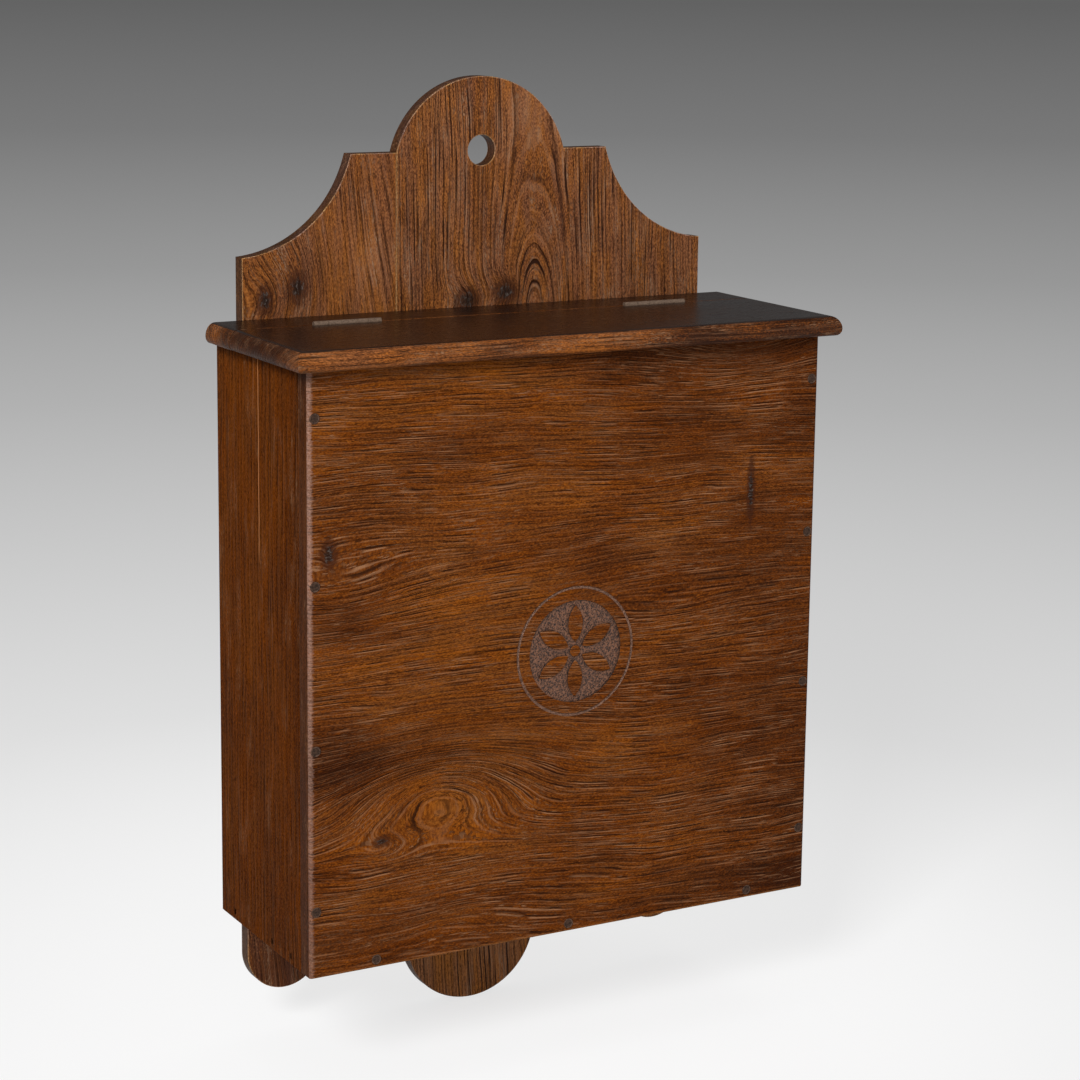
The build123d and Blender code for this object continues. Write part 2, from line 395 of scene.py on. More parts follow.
class Graph:
    """The node tree of a material or of the world, built from left to right."""

    def __init__(self, owner: Owner) -> None:
        """Start with an empty tree.

        Args:
            owner: The material or the world that has the tree.
        """
        owner.use_nodes = True
        self.owner = owner
        self.nodes = owner.node_tree.nodes
        self.links = owner.node_tree.links
        self.nodes.clear()

    @classmethod
    def named(cls, name: str) -> "Graph":
        """Return the empty tree of a new material."""
        return cls(bpy.data.materials.new(name))

    def node(
        self, kind: str, inputs: dict[str | int, object] | None = None, **settings: object
    ) -> bpy.types.Node:
        """Add a node.

        Args:
            kind: Blender's name of the node type, without its ShaderNode prefix.
            inputs: What each input socket gets, a value or another node's output.
            **settings: The node's own properties.

        Returns:
            The new node.
        """
        made = self.nodes.new("ShaderNode" + kind)
        for key, value in settings.items():
            setattr(made, key, value)
        for key, value in (inputs or {}).items():
            self.feed(made.inputs[key], value)
        return made

    def feed(self, socket: Socket, value: object) -> None:
        """Link an output to a socket, or set the socket's value.

        Args:
            socket: The input socket.
            value: The output or the value that it gets.
        """
        if isinstance(value, bpy.types.NodeSocket):
            self.links.new(value, socket)
        elif socket.type == "RGBA":
            socket.default_value = (*value, 1.0)
        else:
            socket.default_value = value

    def math(self, operation: str, first: object, second: object = 0.0, third: object = 0.0) -> Socket:
        """Return the result of a Math node."""
        return self.node("Math", {0: first, 1: second, 2: third}, operation=operation).outputs[0]

    def times(self, first: object, *others: object) -> Socket:
        """Return the product of several values."""
        return reduce(partial(self.math, "MULTIPLY"), others, first)

    def most(self, first: object, *others: object) -> Socket:
        """Return the highest of several values."""
        return reduce(partial(self.math, "MAXIMUM"), others, first)

    def scaled(self, value: Socket, factor: object, base: object) -> Socket:
        """Return the base plus the value multiplied by the factor."""
        return self.math("MULTIPLY_ADD", value, factor, base)

    def swung(self, value: Socket, factor: float, base: object) -> Socket:
        """Return the base, moved by how far a noise lies from its middle value."""
        return self.scaled(self.math("SUBTRACT", value, 0.5), factor, base)

    def vector(self, operation: str, first: object, second: object = (0, 0, 0)) -> Socket:
        """Return the result of a Vector Math node."""
        made = self.node("VectorMath", {0: first, 1: second}, operation=operation)
        return made.outputs["Value" if operation == "LENGTH" else "Vector"]

    def split(self, vector: Socket) -> bpy.types.NodeOutputs:
        """Return the three parts of a vector."""
        return self.node("SeparateXYZ", {0: vector}).outputs

    def joined(self, x: object = 0.0, y: object = 0.0, z: object = 0.0) -> Socket:
        """Return the vector of three parts."""
        return self.node("CombineXYZ", {0: x, 1: y, 2: z}).outputs[0]

    def noise(
        self, vector: Socket, scale: float = 1.0, detail: float = 2.0, rough: float = 0.5
    ) -> bpy.types.NodeOutputs:
        """Return the outputs of a Noise Texture node, Fac and Color."""
        inputs = {"Vector": vector, "Scale": scale, "Detail": detail, "Roughness": rough}
        return self.node("TexNoise", inputs).outputs

    def streaks(
        self, point: Socket, size: tuple[float, float], detail: float = 2.0, rough: float = 0.5
    ) -> bpy.types.NodeOutputs:
        """Return a noise with spots of this size, along the grain and across it."""
        stretched = self.vector("MULTIPLY", point, (1 / size[0], 1 / size[1], 1 / size[1]))
        return self.noise(stretched, detail=detail, rough=rough)

    def step(
        self, value: Socket, low: float, high: float, start: float = 0.0, end: float = 1.0
    ) -> Socket:
        """Return start below low and end above high, with a smooth step between them."""
        inputs = {"Value": value, "From Min": low, "From Max": high, "To Min": start, "To Max": end}
        return self.node("MapRange", inputs, interpolation_type="SMOOTHSTEP").outputs["Result"]

    def blend(self, factor: object, first: object, second: object, mode: str = "MIX") -> Socket:
        """Return a colour between two others.

        Args:
            factor: 0 for the first colour, 1 for the second one laid over it.
            first: The first colour.
            second: The second colour.
            mode: How the second colour is laid over the first.

        Returns:
            The blended colour.
        """
        made = self.node("Mix", data_type="RGBA", blend_type=mode)
        for slot, value in ((0, factor), (6, first), (7, second)):
            self.feed(made.inputs[slot], value)
        return made.outputs[2]

    def ramp(self, value: Socket, stops: Sequence[tuple[float, Colour]]) -> Socket:
        """Return the colour that a Color Ramp gives a value.

        Args:
            value: The value, from 0 to 1.
            stops: Each stop's value and colour, from the lowest up.

        Returns:
            The colour.
        """
        made = self.node("ValToRGB", {0: value})
        band = made.color_ramp
        while len(band.elements) < len(stops):
            band.elements.new(0.5)
        for element, (place, colour) in zip(band.elements, stops):
            element.position = place
            element.color = (*colour, 1.0)
        return made.outputs[0]

    def skin(
        self, colour: Socket, rough: object, height: Socket, strength: float, depth: float
    ) -> bpy.types.Node:
        """Return a Principled shader over a bump, whose depth is in metres."""
        bump = self.node("Bump", {"Strength": strength, "Distance": depth, "Height": height}).outputs[0]
        return self.node("BsdfPrincipled", {"Base Color": colour, "Roughness": rough, "Normal": bump})

    def finish(self, surface: Socket, output: str = "OutputMaterial") -> Owner:
        """Wire a shader to the output and return what has the tree."""
        self.links.new(surface, self.node(output).inputs["Surface"])
        return self.owner


@dataclass(frozen=True)
class Knot:
    """A knot in a board, and how far it disturbs the rings round it. Lengths are in millimetres."""

    along: float
    across: float
    radius: float
    reach: float
    lift: float
    core: float = 1.0
    stretch: float = 1.6
    swell: float = 0.0
    sink: float = 0.0


@dataclass(frozen=True)
class Patch:
    """A soft-edged patch of a board where wax or stain gathers, or where light or shade is painted into
    its tone. Lengths are in millimetres.
    """

    along: float
    across: float
    reach: float
    stretch: float
    strength: float


@dataclass(frozen=True)
class Split:
    """A drying split along the grain. Lengths are in millimetres."""

    across: float
    start: float
    end: float
    width: float
    colour: Colour


@dataclass(frozen=True)
class WearAndHighlight:
    """Paler wood along an arris, which runs along one of the board's own axes: rubbed wood, and on the
    front's left arris also a painted highlight where the rounded arris catches the light.

    The wear grows along the arris from fade[0], where it is weak, to fade[1].
    """

    axis: int
    at: Point
    width: float
    strength: float
    colour: Colour
    fade: tuple[float, float]


@dataclass(frozen=True)
class Rows:
    """Rows of furrows: their pitch in rings of the wood, and their width in millimetres."""

    pitch: float
    width: float


@dataclass(frozen=True)
class Pores:
    """Open pores of one size, in millimetres, and the noise level above which they open."""

    length: float
    width: float
    cut: float


@dataclass(frozen=True)
class Place:
    """Where a point lies in a board, as sockets of the board's material. Lengths are in millimetres.

    Laid has the grain along x and the face along z, and bent is the same point with the board's
    wander in it. Along and radius are its place along the grain and its distance from the pith,
    and grit is a fine noise.
    """

    graph: Graph
    laid: Socket
    bent: Socket
    along: Socket
    radius: Socket
    grit: Socket


class Spots(Enum):
    """Sizes of the spots of the wood's noises, along the grain and across it, in millimetres."""

    SWAY = (240, 75)
    SHAKE = (40, 11)
    STIR = (60, 20)
    FIBRE = (1.5, 0.7)
    CLOUD = (70, 30)
    TINT = (45, 8)
    WAX = (40, 9)
    WOBBLE = (22, math.inf)
    GRIT = (1 / 0.35, 1 / 0.9)


FURROWS = Rows(1.0, 0.52)
CREASES = Rows(0.43, 0.36)
SEAMS = Rows(2.6, 0.62)
FINE_PORES = Pores(2.6, 0.48, 0.56)
COARSE_PORES = Pores(7.0, 0.5, 0.60)
# How softly a pore's edge fades, as a share of the noise.
PORE_EDGE = 0.07
# Length and width of the tone's streaks along the rings, in millimetres.
STREAK_LENGTH, STREAK_WIDTH = 120, 2.3
# How far a drying split wanders to either side, and over what length it tapers, in millimetres.
SPLIT_WANDER, SPLIT_TAPER = 1.1, 12
WARM_TINT = (1.04, 0.99, 0.62)
COOL_TINT = (0.93, 1.00, 1.22)
KNOT_HALO = (0.040, 0.0115, 0.0045)
KNOT_HEART = (0.012, 0.007, 0.005)
KNOT_CHIPS = (0.12, 0.105, 0.095)


@dataclass(frozen=True)
class Oak:
    """Brushed and waxed oak, cut as one board out of a log that lies along the grain.

    Pith, ring, wander, shake and reach are in millimetres. The other numbers are strengths.
    """

    name: str
    grain: Grain
    pith: tuple[float, float]
    lean: tuple[float, float] = (0.0, 0.0)
    ring: float = 3.0
    wander: float = 5.0
    shake: float = 1.3
    reach: float = 42.0
    dark: Colour = (0.034, 0.0085, 0.0018)
    middle: Colour = (0.118, 0.0345, 0.0068)
    light: Colour = (0.235, 0.078, 0.015)
    pale_pore: Colour = (0.25, 0.128, 0.065)
    dark_pore: Colour = (0.020, 0.0055, 0.0018)
    pale_share: float = 0.5
    fine_pale: float = 1.0
    pore_strength: float = 0.7
    furrow: float = 0.92
    lip: float = 0.6
    seam: float = 1.0
    tone: float = 0.6
    fibre: float = 1.7
    cloud: float = 0.8
    roughness: float = 0.46
    gloss: float = 0.07
    index: float = 1.5
    relief: float = 1.0
    knots: tuple[Knot, ...] = ()
    waxes: tuple[Patch, ...] = ()
    stains_and_painted_light: tuple[Patch, ...] = ()
    splits: tuple[Split, ...] = ()
    wears_and_highlights: tuple[WearAndHighlight, ...] = ()

    def placed(self, graph: Graph) -> Place:
        """Find where the shaded point lies in the board.

        Args:
            graph: The material's empty node tree.

        Returns:
            The place.
        """
        point = graph.node("TexCoord").outputs["Object"]
        inputs = {"Vector": point, "Rotation": self.grain.turn(), "Scale": (1000, 1000, 1000)}
        laid = graph.node("Mapping", inputs, vector_type="POINT").outputs[0]
        bent = self.bent(graph, laid)
        along, across, depth = (graph.split(bent)[i] for i in range(3))
        off_pith = [
            graph.math("ADD", part, graph.scaled(along, -lean, -pith))
            for part, lean, pith in zip((across, depth), self.lean, self.pith)
        ]
        radius = graph.vector("LENGTH", graph.joined(0.0, *off_pith))
        grit = graph.streaks(laid, Spots.GRIT.value, 3.0, 0.7)["Fac"]
        return Place(graph, laid, bent, along, radius, grit)

    def spot(self, graph: Graph, laid: Socket, centre: Knot | Patch, reach: float) -> Socket:
        """Fall off round a knot or a patch.

        Args:
            graph: The material's node tree.
            laid: The laid point, in millimetres.
            centre: The knot or the patch.
            reach: How far the fall reaches across the grain, in millimetres.

        Returns:
            1 at the centre, falling off to 0 over the reach.
        """
        offset = graph.vector("SUBTRACT", laid, (centre.along, centre.across, 0))
        scale = (1 / (reach * centre.stretch), 1 / reach, 0)
        distance = graph.vector("LENGTH", graph.vector("MULTIPLY", offset, scale))
        return graph.math("EXPONENT", graph.times(distance, distance, -1.0))

    def patched(self, at: Place, level: Socket, patches: Sequence[Patch]) -> Socket:
        """Raise or lower a level inside the patches.

        Args:
            at: The place in the board.
            level: The level outside the patches.
            patches: The patches.

        Returns:
            The level with the patches in it.
        """
        for patch in patches:
            inside = self.spot(at.graph, at.laid, patch, patch.reach)
            level = at.graph.scaled(inside, patch.strength, level)
        return level

    def bent(self, graph: Graph, laid: Socket) -> Socket:
        """Shift the laid point across the grain, so that the rings and pores wander.

        Args:
            graph: The material's node tree.
            laid: The laid point, in millimetres.

        Returns:
            The shifted point.
        """
        bent = laid
        for spots, shift in ((Spots.SWAY, 2 * self.wander), (Spots.SHAKE, self.shake)):
            noise = graph.streaks(laid, spots.value)["Color"]
            centred = graph.vector("SUBTRACT", noise, (0.5, 0.5, 0.5))
            bent = graph.vector("ADD", bent, graph.vector("MULTIPLY", centred, (0, shift, shift)))
        across = graph.split(laid)[1]
        for knot in self.knots:
            fall = self.spot(graph, laid, knot, knot.reach)
            parted = graph.scaled(across, -knot.swell, knot.lift + knot.swell * knot.across)
            push = graph.joined(0.0, graph.times(fall, parted), graph.times(fall, knot.sink))
            bent = graph.vector("ADD", bent, push)
        return bent

    def furrows(self, at: Place, rows: Rows) -> tuple[Socket, Socket]:
        """Lay out the furrows that brushing leaves in the soft early wood.

        Args:
            at: The place in the board.
            rows: The rows in which the furrows lie.

        Returns:
            1 in a furrow and 0 beside it, and the same for the lip beside it.
        """
        graph = at.graph
        pitch = self.ring * rows.pitch
        row = graph.math("DIVIDE", at.radius, pitch)
        phase = graph.math("FRACT", row)
        share = rows.width / pitch
        present = graph.noise(graph.joined(graph.math("DIVIDE", at.along, self.reach), row))["Fac"]
        opened = graph.step(present, 0.48, 0.58)
        rise = graph.step(phase, 0.0, 0.4 * share)
        furrow = graph.times(rise, graph.step(phase, 0.9 * share, 1.4 * share, 1.0, 0.0))
        swell = graph.step(phase, 1.0 - 1.3 * share, 1.0 - share)
        lip = graph.times(swell, graph.step(phase, 1.0 - 0.4 * share, 1.0, 1.0, 0.0))
        return graph.times(furrow, opened), graph.times(lip, opened)

    def brushed(self, at: Place) -> tuple[Socket, Socket, Socket]:
        """Lay out all that the brush leaves.

        Args:
            at: The place in the board.

        Returns:
            The furrows, the lips beside them and the fine creases between them.
        """
        graph = at.graph
        furrow, lip = self.furrows(at, FURROWS)
        crease, ridge = self.furrows(at, CREASES)
        seam, bank = self.furrows(at, SEAMS)
        furrow = graph.most(furrow, graph.times(seam, self.seam))
        lip = graph.most(lip, graph.times(bank, self.seam), graph.times(ridge, 0.6))
        stirred = graph.step(graph.streaks(at.bent, Spots.STIR.value)["Fac"], 0.40, 0.54, 0.5, 1.0)
        return graph.times(furrow, stirred), graph.times(lip, stirred), graph.times(crease, stirred)

    def toned(self, at: Place) -> tuple[Socket, Socket, Socket, Socket]:
        """Colour the wood before its pores.

        Args:
            at: The place in the board.

        Returns:
            The colour, and the streaks, the fibres and the clouds that make it.
        """
        graph = at.graph
        streak = [
            graph.math("DIVIDE", place, size)
            for place, size in ((at.along, STREAK_LENGTH), (at.radius, STREAK_WIDTH))
        ]
        tone = graph.noise(graph.joined(*streak), detail=3.0, rough=0.6)["Fac"]
        fibre = graph.streaks(at.bent, Spots.FIBRE.value, 2.0, 0.6)["Fac"]
        cloud = graph.streaks(at.bent, Spots.CLOUD.value, 3.0)["Fac"]
        level = 0.5
        for pattern, amount in ((tone, self.tone), (fibre, self.fibre), (cloud, self.cloud)):
            level = graph.swung(pattern, amount, level)
        # Stains, and painted light and shade: patches that lighten or darken the tone.
        level = self.patched(at, level, self.stains_and_painted_light)
        colour = graph.ramp(level, ((0.05, self.dark), (0.5, self.middle), (0.95, self.light)))
        cool = graph.step(graph.streaks(at.bent, Spots.TINT.value, 3.0)["Fac"], 0.36, 0.64)
        tint = graph.blend(cool, WARM_TINT, COOL_TINT)
        return graph.blend(1.0, colour, tint, "MULTIPLY"), tone, fibre, cloud

    def opened(self, at: Place, pores: Pores) -> Socket:
        """Return 1 in the open pores of one size, each a dash along the grain, and 0 between them."""
        noise = at.graph.streaks(at.bent, (pores.length, pores.width), 1.0, 0.4)["Fac"]
        return at.graph.step(noise, pores.cut, pores.cut + PORE_EDGE)

    def pored(self, at: Place, colour: Socket) -> tuple[Socket, Socket, Socket]:
        """Lay the pores into the wood, some of them pale with old wax.

        Args:
            at: The place in the board.
            colour: The wood's colour.

        Returns:
            The colour with the pores in it, the pores, and how pale with wax they are.
        """
        graph = at.graph
        phase = graph.math("FRACT", graph.math("DIVIDE", at.radius, self.ring))
        early = graph.step(phase, 0.30, 0.65, 1.0, 0.0)
        fine = graph.times(self.opened(at, FINE_PORES), graph.scaled(early, 0.5, 0.35))
        coarse = graph.times(self.opened(at, COARSE_PORES), early)
        waxed = self.patched(at, graph.streaks(at.bent, Spots.WAX.value)["Fac"], self.waxes)
        pale = graph.step(waxed, 0.62 - 0.24 * self.pale_share, 0.76 - 0.24 * self.pale_share)
        for pore, share in ((fine, graph.times(pale, self.fine_pale)), (coarse, pale)):
            shade = graph.blend(share, self.dark_pore, self.pale_pore)
            colour = graph.blend(graph.times(pore, self.pore_strength), colour, shade)
        return colour, graph.most(fine, coarse), pale

    def knotted(self, at: Place, colour: Socket) -> Socket:
        """Lay the hearts of the knots into the wood.

        Args:
            at: The place in the board.
            colour: The wood's colour.

        Returns:
            The colour with the knots in it.
        """
        graph = at.graph
        for knot in self.knots:
            if knot.core > 0:
                ragged = graph.swung(at.grit, 0.9, self.spot(graph, at.laid, knot, knot.radius))
                halo = graph.times(graph.step(ragged, 0.10, 0.5), 0.75 * knot.core)
                colour = graph.blend(halo, colour, KNOT_HALO)
                heart = graph.times(graph.step(ragged, 0.62, 0.92), 0.8 * knot.core)
                chips = graph.ramp(at.grit, ((0.52, KNOT_HEART), (0.70, KNOT_CHIPS)))
                colour = graph.blend(heart, colour, chips)
        return colour

    def parted(self, at: Place, split: Split) -> Socket:
        """Open a drying split.

        Args:
            at: The place in the board.
            split: The split.

        Returns:
            1 inside the split and 0 beside it.
        """
        graph = at.graph
        along, across = (graph.split(at.laid)[i] for i in range(2))
        wobble = graph.streaks(at.laid, Spots.WOBBLE.value, 3.0)["Fac"]
        side = graph.scaled(wobble, 2 * SPLIT_WANDER, -SPLIT_WANDER - split.across)
        off = graph.math("ABSOLUTE", graph.math("ADD", across, side))
        line = graph.step(off, split.width * 0.35, split.width * 0.7, 1.0, 0.0)
        rising = graph.step(along, split.start, split.start + SPLIT_TAPER)
        falling = graph.step(along, split.end - SPLIT_TAPER, split.end, 1.0, 0.0)
        return graph.times(line, rising, falling)

    def worn(self, at: Place, wear_and_highlight: WearAndHighlight) -> Socket:
        """Rub an arris pale, ragged and broken up where it ends: rubbed wood, and on the front's left
        arris a painted highlight too.

        Args:
            at: The place in the board.
            wear_and_highlight: The wear.

        Returns:
            How far the wood is rubbed, from 0 to the wear's strength.
        """
        graph = at.graph
        across = [0.0 if axis == wear_and_highlight.axis else 1.0 for axis in range(3)]
        offset = graph.vector("MULTIPLY", graph.vector("SUBTRACT", at.laid, wear_and_highlight.at), across)
        ragged = graph.swung(at.grit, 2.6 * wear_and_highlight.width, graph.vector("LENGTH", offset))
        near = graph.step(ragged, wear_and_highlight.width * 0.6, wear_and_highlight.width * 1.2, 1.0, 0.0)
        patchy = graph.step(at.grit, 0.40, 0.58, 0.45, 1.0)
        place = graph.split(at.laid)[wear_and_highlight.axis]
        grown = graph.step(place, *wear_and_highlight.fade, 0.4 * wear_and_highlight.strength, wear_and_highlight.strength)
        return graph.times(near, patchy, grown)

    def build(self) -> Finish:
        """Return the finished material."""
        graph = Graph.named(self.name)
        at = self.placed(graph)
        furrow, lip, crease = self.brushed(at)
        colour, tone, fibre, cloud = self.toned(at)
        colour, pore, pale = self.pored(at, colour)
        colour = graph.blend(graph.times(crease, 0.6 * self.furrow), colour, self.dark_pore)
        rubbed = graph.times(lip, graph.scaled(pale, 0.65, 0.35), self.lip)
        colour = graph.blend(rubbed, colour, self.pale_pore)
        colour = graph.blend(graph.times(furrow, self.furrow), colour, self.dark_pore)
        colour = self.knotted(at, colour)
        hollow = graph.most(furrow, graph.times(crease, 0.5), graph.times(pore, 0.4))
        for split in self.splits:
            line = self.parted(at, split)
            colour = graph.blend(line, colour, split.colour)
            hollow = graph.most(hollow, line)
        # Paler arrises: rubbed wood, and on the front's left arris a painted highlight.
        for wear_and_highlight in self.wears_and_highlights:
            colour = graph.blend(self.worn(at, wear_and_highlight), colour, wear_and_highlight.colour)

        raised = graph.scaled(tone, 0.9 * self.tone, graph.times(fibre, 0.3))
        height = graph.math("SUBTRACT", raised, hollow)
        rough = graph.scaled(pore, 0.22, graph.scaled(cloud, 0.16, self.roughness - 0.08))
        shader = graph.skin(colour, rough, height, self.relief, 0.7 * MM)
        shader.inputs["Specular IOR Level"].default_value = self.gloss
        shader.inputs["IOR"].default_value = self.index
        return graph.finish(shader.outputs[0])


@dataclass(frozen=True)
class PunchedGround:
    """The roundel's sunk ground, matted with a small round punch and rubbed with wax; a dark copy of it
    is painted shade on the carving's walls.
    """

    name: str = "punched_ground"
    pitch: float = 1.05
    low: Colour = (0.022, 0.0075, 0.0035)
    high: Colour = (0.146, 0.058, 0.026)

    def build(self) -> Finish:
        """Return the finished material."""
        graph = Graph.named(self.name)
        place = graph.node("TexCoord").outputs["Object"]
        dents = graph.node("TexVoronoi", {"Vector": place, "Scale": 1000 / self.pitch}, feature="F1")
        rise = graph.step(dents.outputs["Distance"], 0.12, 0.62)
        mottle = graph.noise(place, scale=620.0, detail=3.0)["Fac"]
        colour = graph.blend(graph.swung(mottle, 3.0, graph.times(rise, 0.8)), self.low, self.high)
        return graph.finish(graph.skin(colour, 0.62, rise, 1.0, 0.6 * MM).outputs[0])


@dataclass(frozen=True)
class OldMetal:
    """Aged metal with dull patches over a brighter body."""

    name: str
    bright: Colour
    dull: Colour
    roughness: float
    metallic: float = 0.85

    def build(self) -> Finish:
        """Return the finished material."""
        graph = Graph.named(self.name)
        place = graph.node("TexCoord").outputs["Object"]
        patches = graph.noise(place, scale=900.0, detail=5.0, rough=0.65)["Fac"]
        worn = graph.step(patches, 0.38, 0.66)
        colour = graph.blend(worn, self.bright, self.dull)
        shader = graph.skin(colour, graph.scaled(worn, 0.25, self.roughness), patches, 0.35, 0.2 * MM)
        shader.inputs["Specular IOR Level"].default_value = 0.25
        shader.inputs["Metallic"].default_value = self.metallic
        return graph.finish(shader.outputs[0])


# ---------------------------------------------------------------- pieces


@dataclass
class SubAssembly:
    """A group of pieces that are modelled, dressed and hung on their bodies together."""

    made: list[str] = field(default_factory=list, init=False)

    def hang(
        self, piece: Piece, body: Body, slot: str, nodes: Sequence[str], finishes: Sequence[Finish] = ()
    ) -> Piece:
        """Give a piece its finish, its body and the CAD nodes that it stands for.

        Args:
            piece: The finished mesh object.
            body: The body that it moves with.
            slot: The record's material slot. It is not used.
            nodes: CAD nodes that it replaces.
            finishes: Materials for its slots. None keeps those that it has.

        Returns:
            The same object.
        """
        if finishes:
            Bench.paint(piece, finishes)
        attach(piece, body.value)
        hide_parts(*nodes)
        self.made.append(piece.name)
        log.info("%s: %d faces, stands for %s", piece.name, len(piece.data.polygons), ", ".join(nodes))
        return piece

    def keep(self, node: str, finish: Finish) -> None:
        """Dress a CAD node whose solids already have their real shape.

        Args:
            node: The CAD node.
            finish: Its material.
        """
        Bench.paint(bpy.data.objects[node], [finish])
        self.made.append(node)
        log.info("%s: keeps its CAD mesh", node)


@dataclass
class Backboard(SubAssembly):
    """Shaped backboard of two boards, sawn to its outline and parted at the glue joint."""

    half_width: float = 162.3
    thickness: float = 10.5
    shoulder: float = -60.6
    scoop_x: float = 90.2
    scoop_radius: float = 81.0
    crest_half_width: float = 59.1
    crest_rise: float = 46.0
    hole_radius: float = 9.525
    foot_z: float = -502.4
    foot_radius: float = 25.2
    lobe_x: float = -3.5
    lobe_z: float = -511.4
    lobe_radius: float = 47.3
    lobe_root: float = 5.0
    arch_rise: float = 27.0
    # How much thicker the blank is on either side, before it is planed.
    spare: float = 2.0
    # Edges of the outline shorter than this are merged before the arris is rounded.
    shortest: float = 0.45
    arris: float = 0.55
    # Shares of the arris that its two facets take, the steep one first.
    facets: tuple[float, float] = (0.293, 0.707)
    # Least facing of a face, and greatest facing of an edge, towards the wall or the room.
    face_from: float = 0.96
    edge_to: float = 0.3

    def through(self, name: str, radius: float, x: float, z: float, whole: bool = True) -> Piece:
        """Return a round rod along Y through the blank, or as deep as the blank alone."""
        spare = self.thickness if whole else self.spare
        return Bench.rod(name, radius, (x, spare, z), (x, -self.thickness - spare, z), sides=144)

    def slab(self, name: str, low_x: float, low_z: float, high_x: float, high_z: float) -> Piece:
        """Return a block as deep as the blank, between two corners of the outline."""
        front = -self.thickness - self.spare
        return Bench.block(name, (low_x, front, low_z), (high_x, self.spare, high_z))

    def scoop_centre(self) -> tuple[float, float]:
        """Return where the scoop's arc has its centre, on the right-hand side."""
        first = Vector((self.scoop_x, 0.0))
        last = Vector((self.half_width, self.shoulder))
        chord = last - first
        rise = math.sqrt(self.scoop_radius**2 - (chord.length / 2) ** 2)
        normal = Vector((-chord.y, chord.x)).normalized()
        centre = (first + last) / 2 + normal * rise
        return centre.x, centre.y

    def arch(self, side: int) -> Piece:
        """Return the cutter of the arch between a foot and the lobe.

        Args:
            side: -1 for the left-hand arch, 1 for the right-hand one.

        Returns:
            The cutter.
        """
        inner_x = side * (self.half_width - 2 * self.foot_radius)
        beside_x = self.lobe_x + side * self.lobe_radius
        half = abs(inner_x - beside_x) / 2
        arch = self.through("arch", half, (inner_x + beside_x) / 2, self.foot_z)
        with Bench.editing(arch):
            bpy.ops.mesh.select_all(action="SELECT")
            bpy.ops.transform.resize(
                value=(1, 1, self.arch_rise / half), center_override=(0, 0, self.foot_z * MM)
            )
        return arch

    def blank(self) -> Piece:
        """Return the whole backboard, sawn to its outline but not yet planed or parted."""
        crest_radius = (self.crest_half_width**2 + self.crest_rise**2) / (2 * self.crest_rise)
        crest = self.through("crest", crest_radius, 0, self.crest_rise - crest_radius, whole=False)
        lobe_low, lobe_high = self.lobe_x - self.lobe_radius, self.lobe_x + self.lobe_radius
        lobe = self.slab("lobe", lobe_low, self.lobe_z, lobe_high, self.foot_z + self.lobe_root)
        lobe_end = self.through("lobe_end", self.lobe_radius, self.lobe_x, self.lobe_z, whole=False)
        board = self.slab("backboard", -self.half_width, self.foot_z, self.half_width, 0)
        for form in (crest, lobe, lobe_end):
            Bench.boolean(board, form, "UNION")
        centre_x, centre_z = self.scoop_centre()
        for side in (-1, 1):
            scoop = self.through("scoop", self.scoop_radius, side * centre_x, centre_z)
            Bench.boolean(board, scoop, "DIFFERENCE")
            foot_x = side * (self.half_width - self.foot_radius)
            foot = self.through("foot", self.foot_radius, foot_x, self.foot_z, whole=False)
            Bench.boolean(board, foot, "UNION")
            Bench.boolean(board, self.arch(side), "DIFFERENCE")
        return Bench.clean(board)

    def part(self, board: Piece, keep_left: bool) -> Piece:
        """Cut a board at the glue joint, plane both faces, and bore the hole where it belongs.

        Args:
            board: The whole blank, which becomes the board.
            keep_left: Whether the left-hand board is kept, which has no hole.

        Returns:
            The same object.
        """
        with Bench.editing(board):
            for point, normal, inner in (
                ((-self.crest_half_width * MM, 0, 0), (1, 0, 0), not keep_left),
                ((0, 0, 0), (0, 1, 0), False),
                ((0, -self.thickness * MM, 0), (0, 1, 0), True),
            ):
                discard = {"clear_inner": inner, "clear_outer": not inner}
                bpy.ops.mesh.select_all(action="SELECT")
                bpy.ops.mesh.bisect(plane_co=point, plane_no=normal, use_fill=True, **discard)
            bpy.ops.mesh.select_all(action="SELECT")
            bpy.ops.mesh.remove_doubles(threshold=self.shortest * MM)
            Bench.face_outwards()
        if not keep_left:
            Bench.boolean(board, self.through("hole", self.hole_radius, 0, 0), "DIFFERENCE")
        return board

    def ease(self, board: Piece) -> Piece:
        """Round the rims of both faces over, with two insets each.

        Args:
            board: The board to ease.

        Returns:
            The same object.
        """
        steep, shallow = (share * self.arris * MM for share in self.facets)
        for side in (-1, 1):
            with Bench.editing(board):
                Bench.pick_faces(board, lambda normal, side=side: normal.y * side > LOOKS)
                bpy.ops.transform.translate(value=(0, -side * self.arris * MM, 0))
                bpy.ops.mesh.inset(thickness=steep, depth=shallow)
                bpy.ops.mesh.inset(thickness=shallow, depth=steep)
        return board

    def side_of(self, face: bpy.types.MeshPolygon) -> int:
        """Return 0 for the board's two faces, 1 for its sawn edge and 2 for the arris between."""
        facing = abs(face.normal.y)
        return 0 if facing > self.face_from else 1 if facing < self.edge_to else 2

    def build(self, finishes: dict[str, Finish]) -> None:
        """Model both boards and dress them.

        Args:
            finishes: Every material, by the node or the use that it has.
        """
        right = self.blank()
        left = Bench.duplicate(right, "backboard_left")
        right.name = "backboard_right"
        for board, keep_left, node in (
            (left, True, "backboard_left_board"),
            (right, False, "backboard_right_board"),
        ):
            self.part(board, keep_left)
            Bench.smooth(self.ease(board))
            # The arris between face and edge gets a pale finish: worn wood, and a painted highlight of
            # the rounded arris.
            uses = (node, "back_edge", "back_arris")
            Bench.paint(board, [finishes[use] for use in uses], self.side_of)
            self.hang(board, Body.CASE, "oak_back", [node])


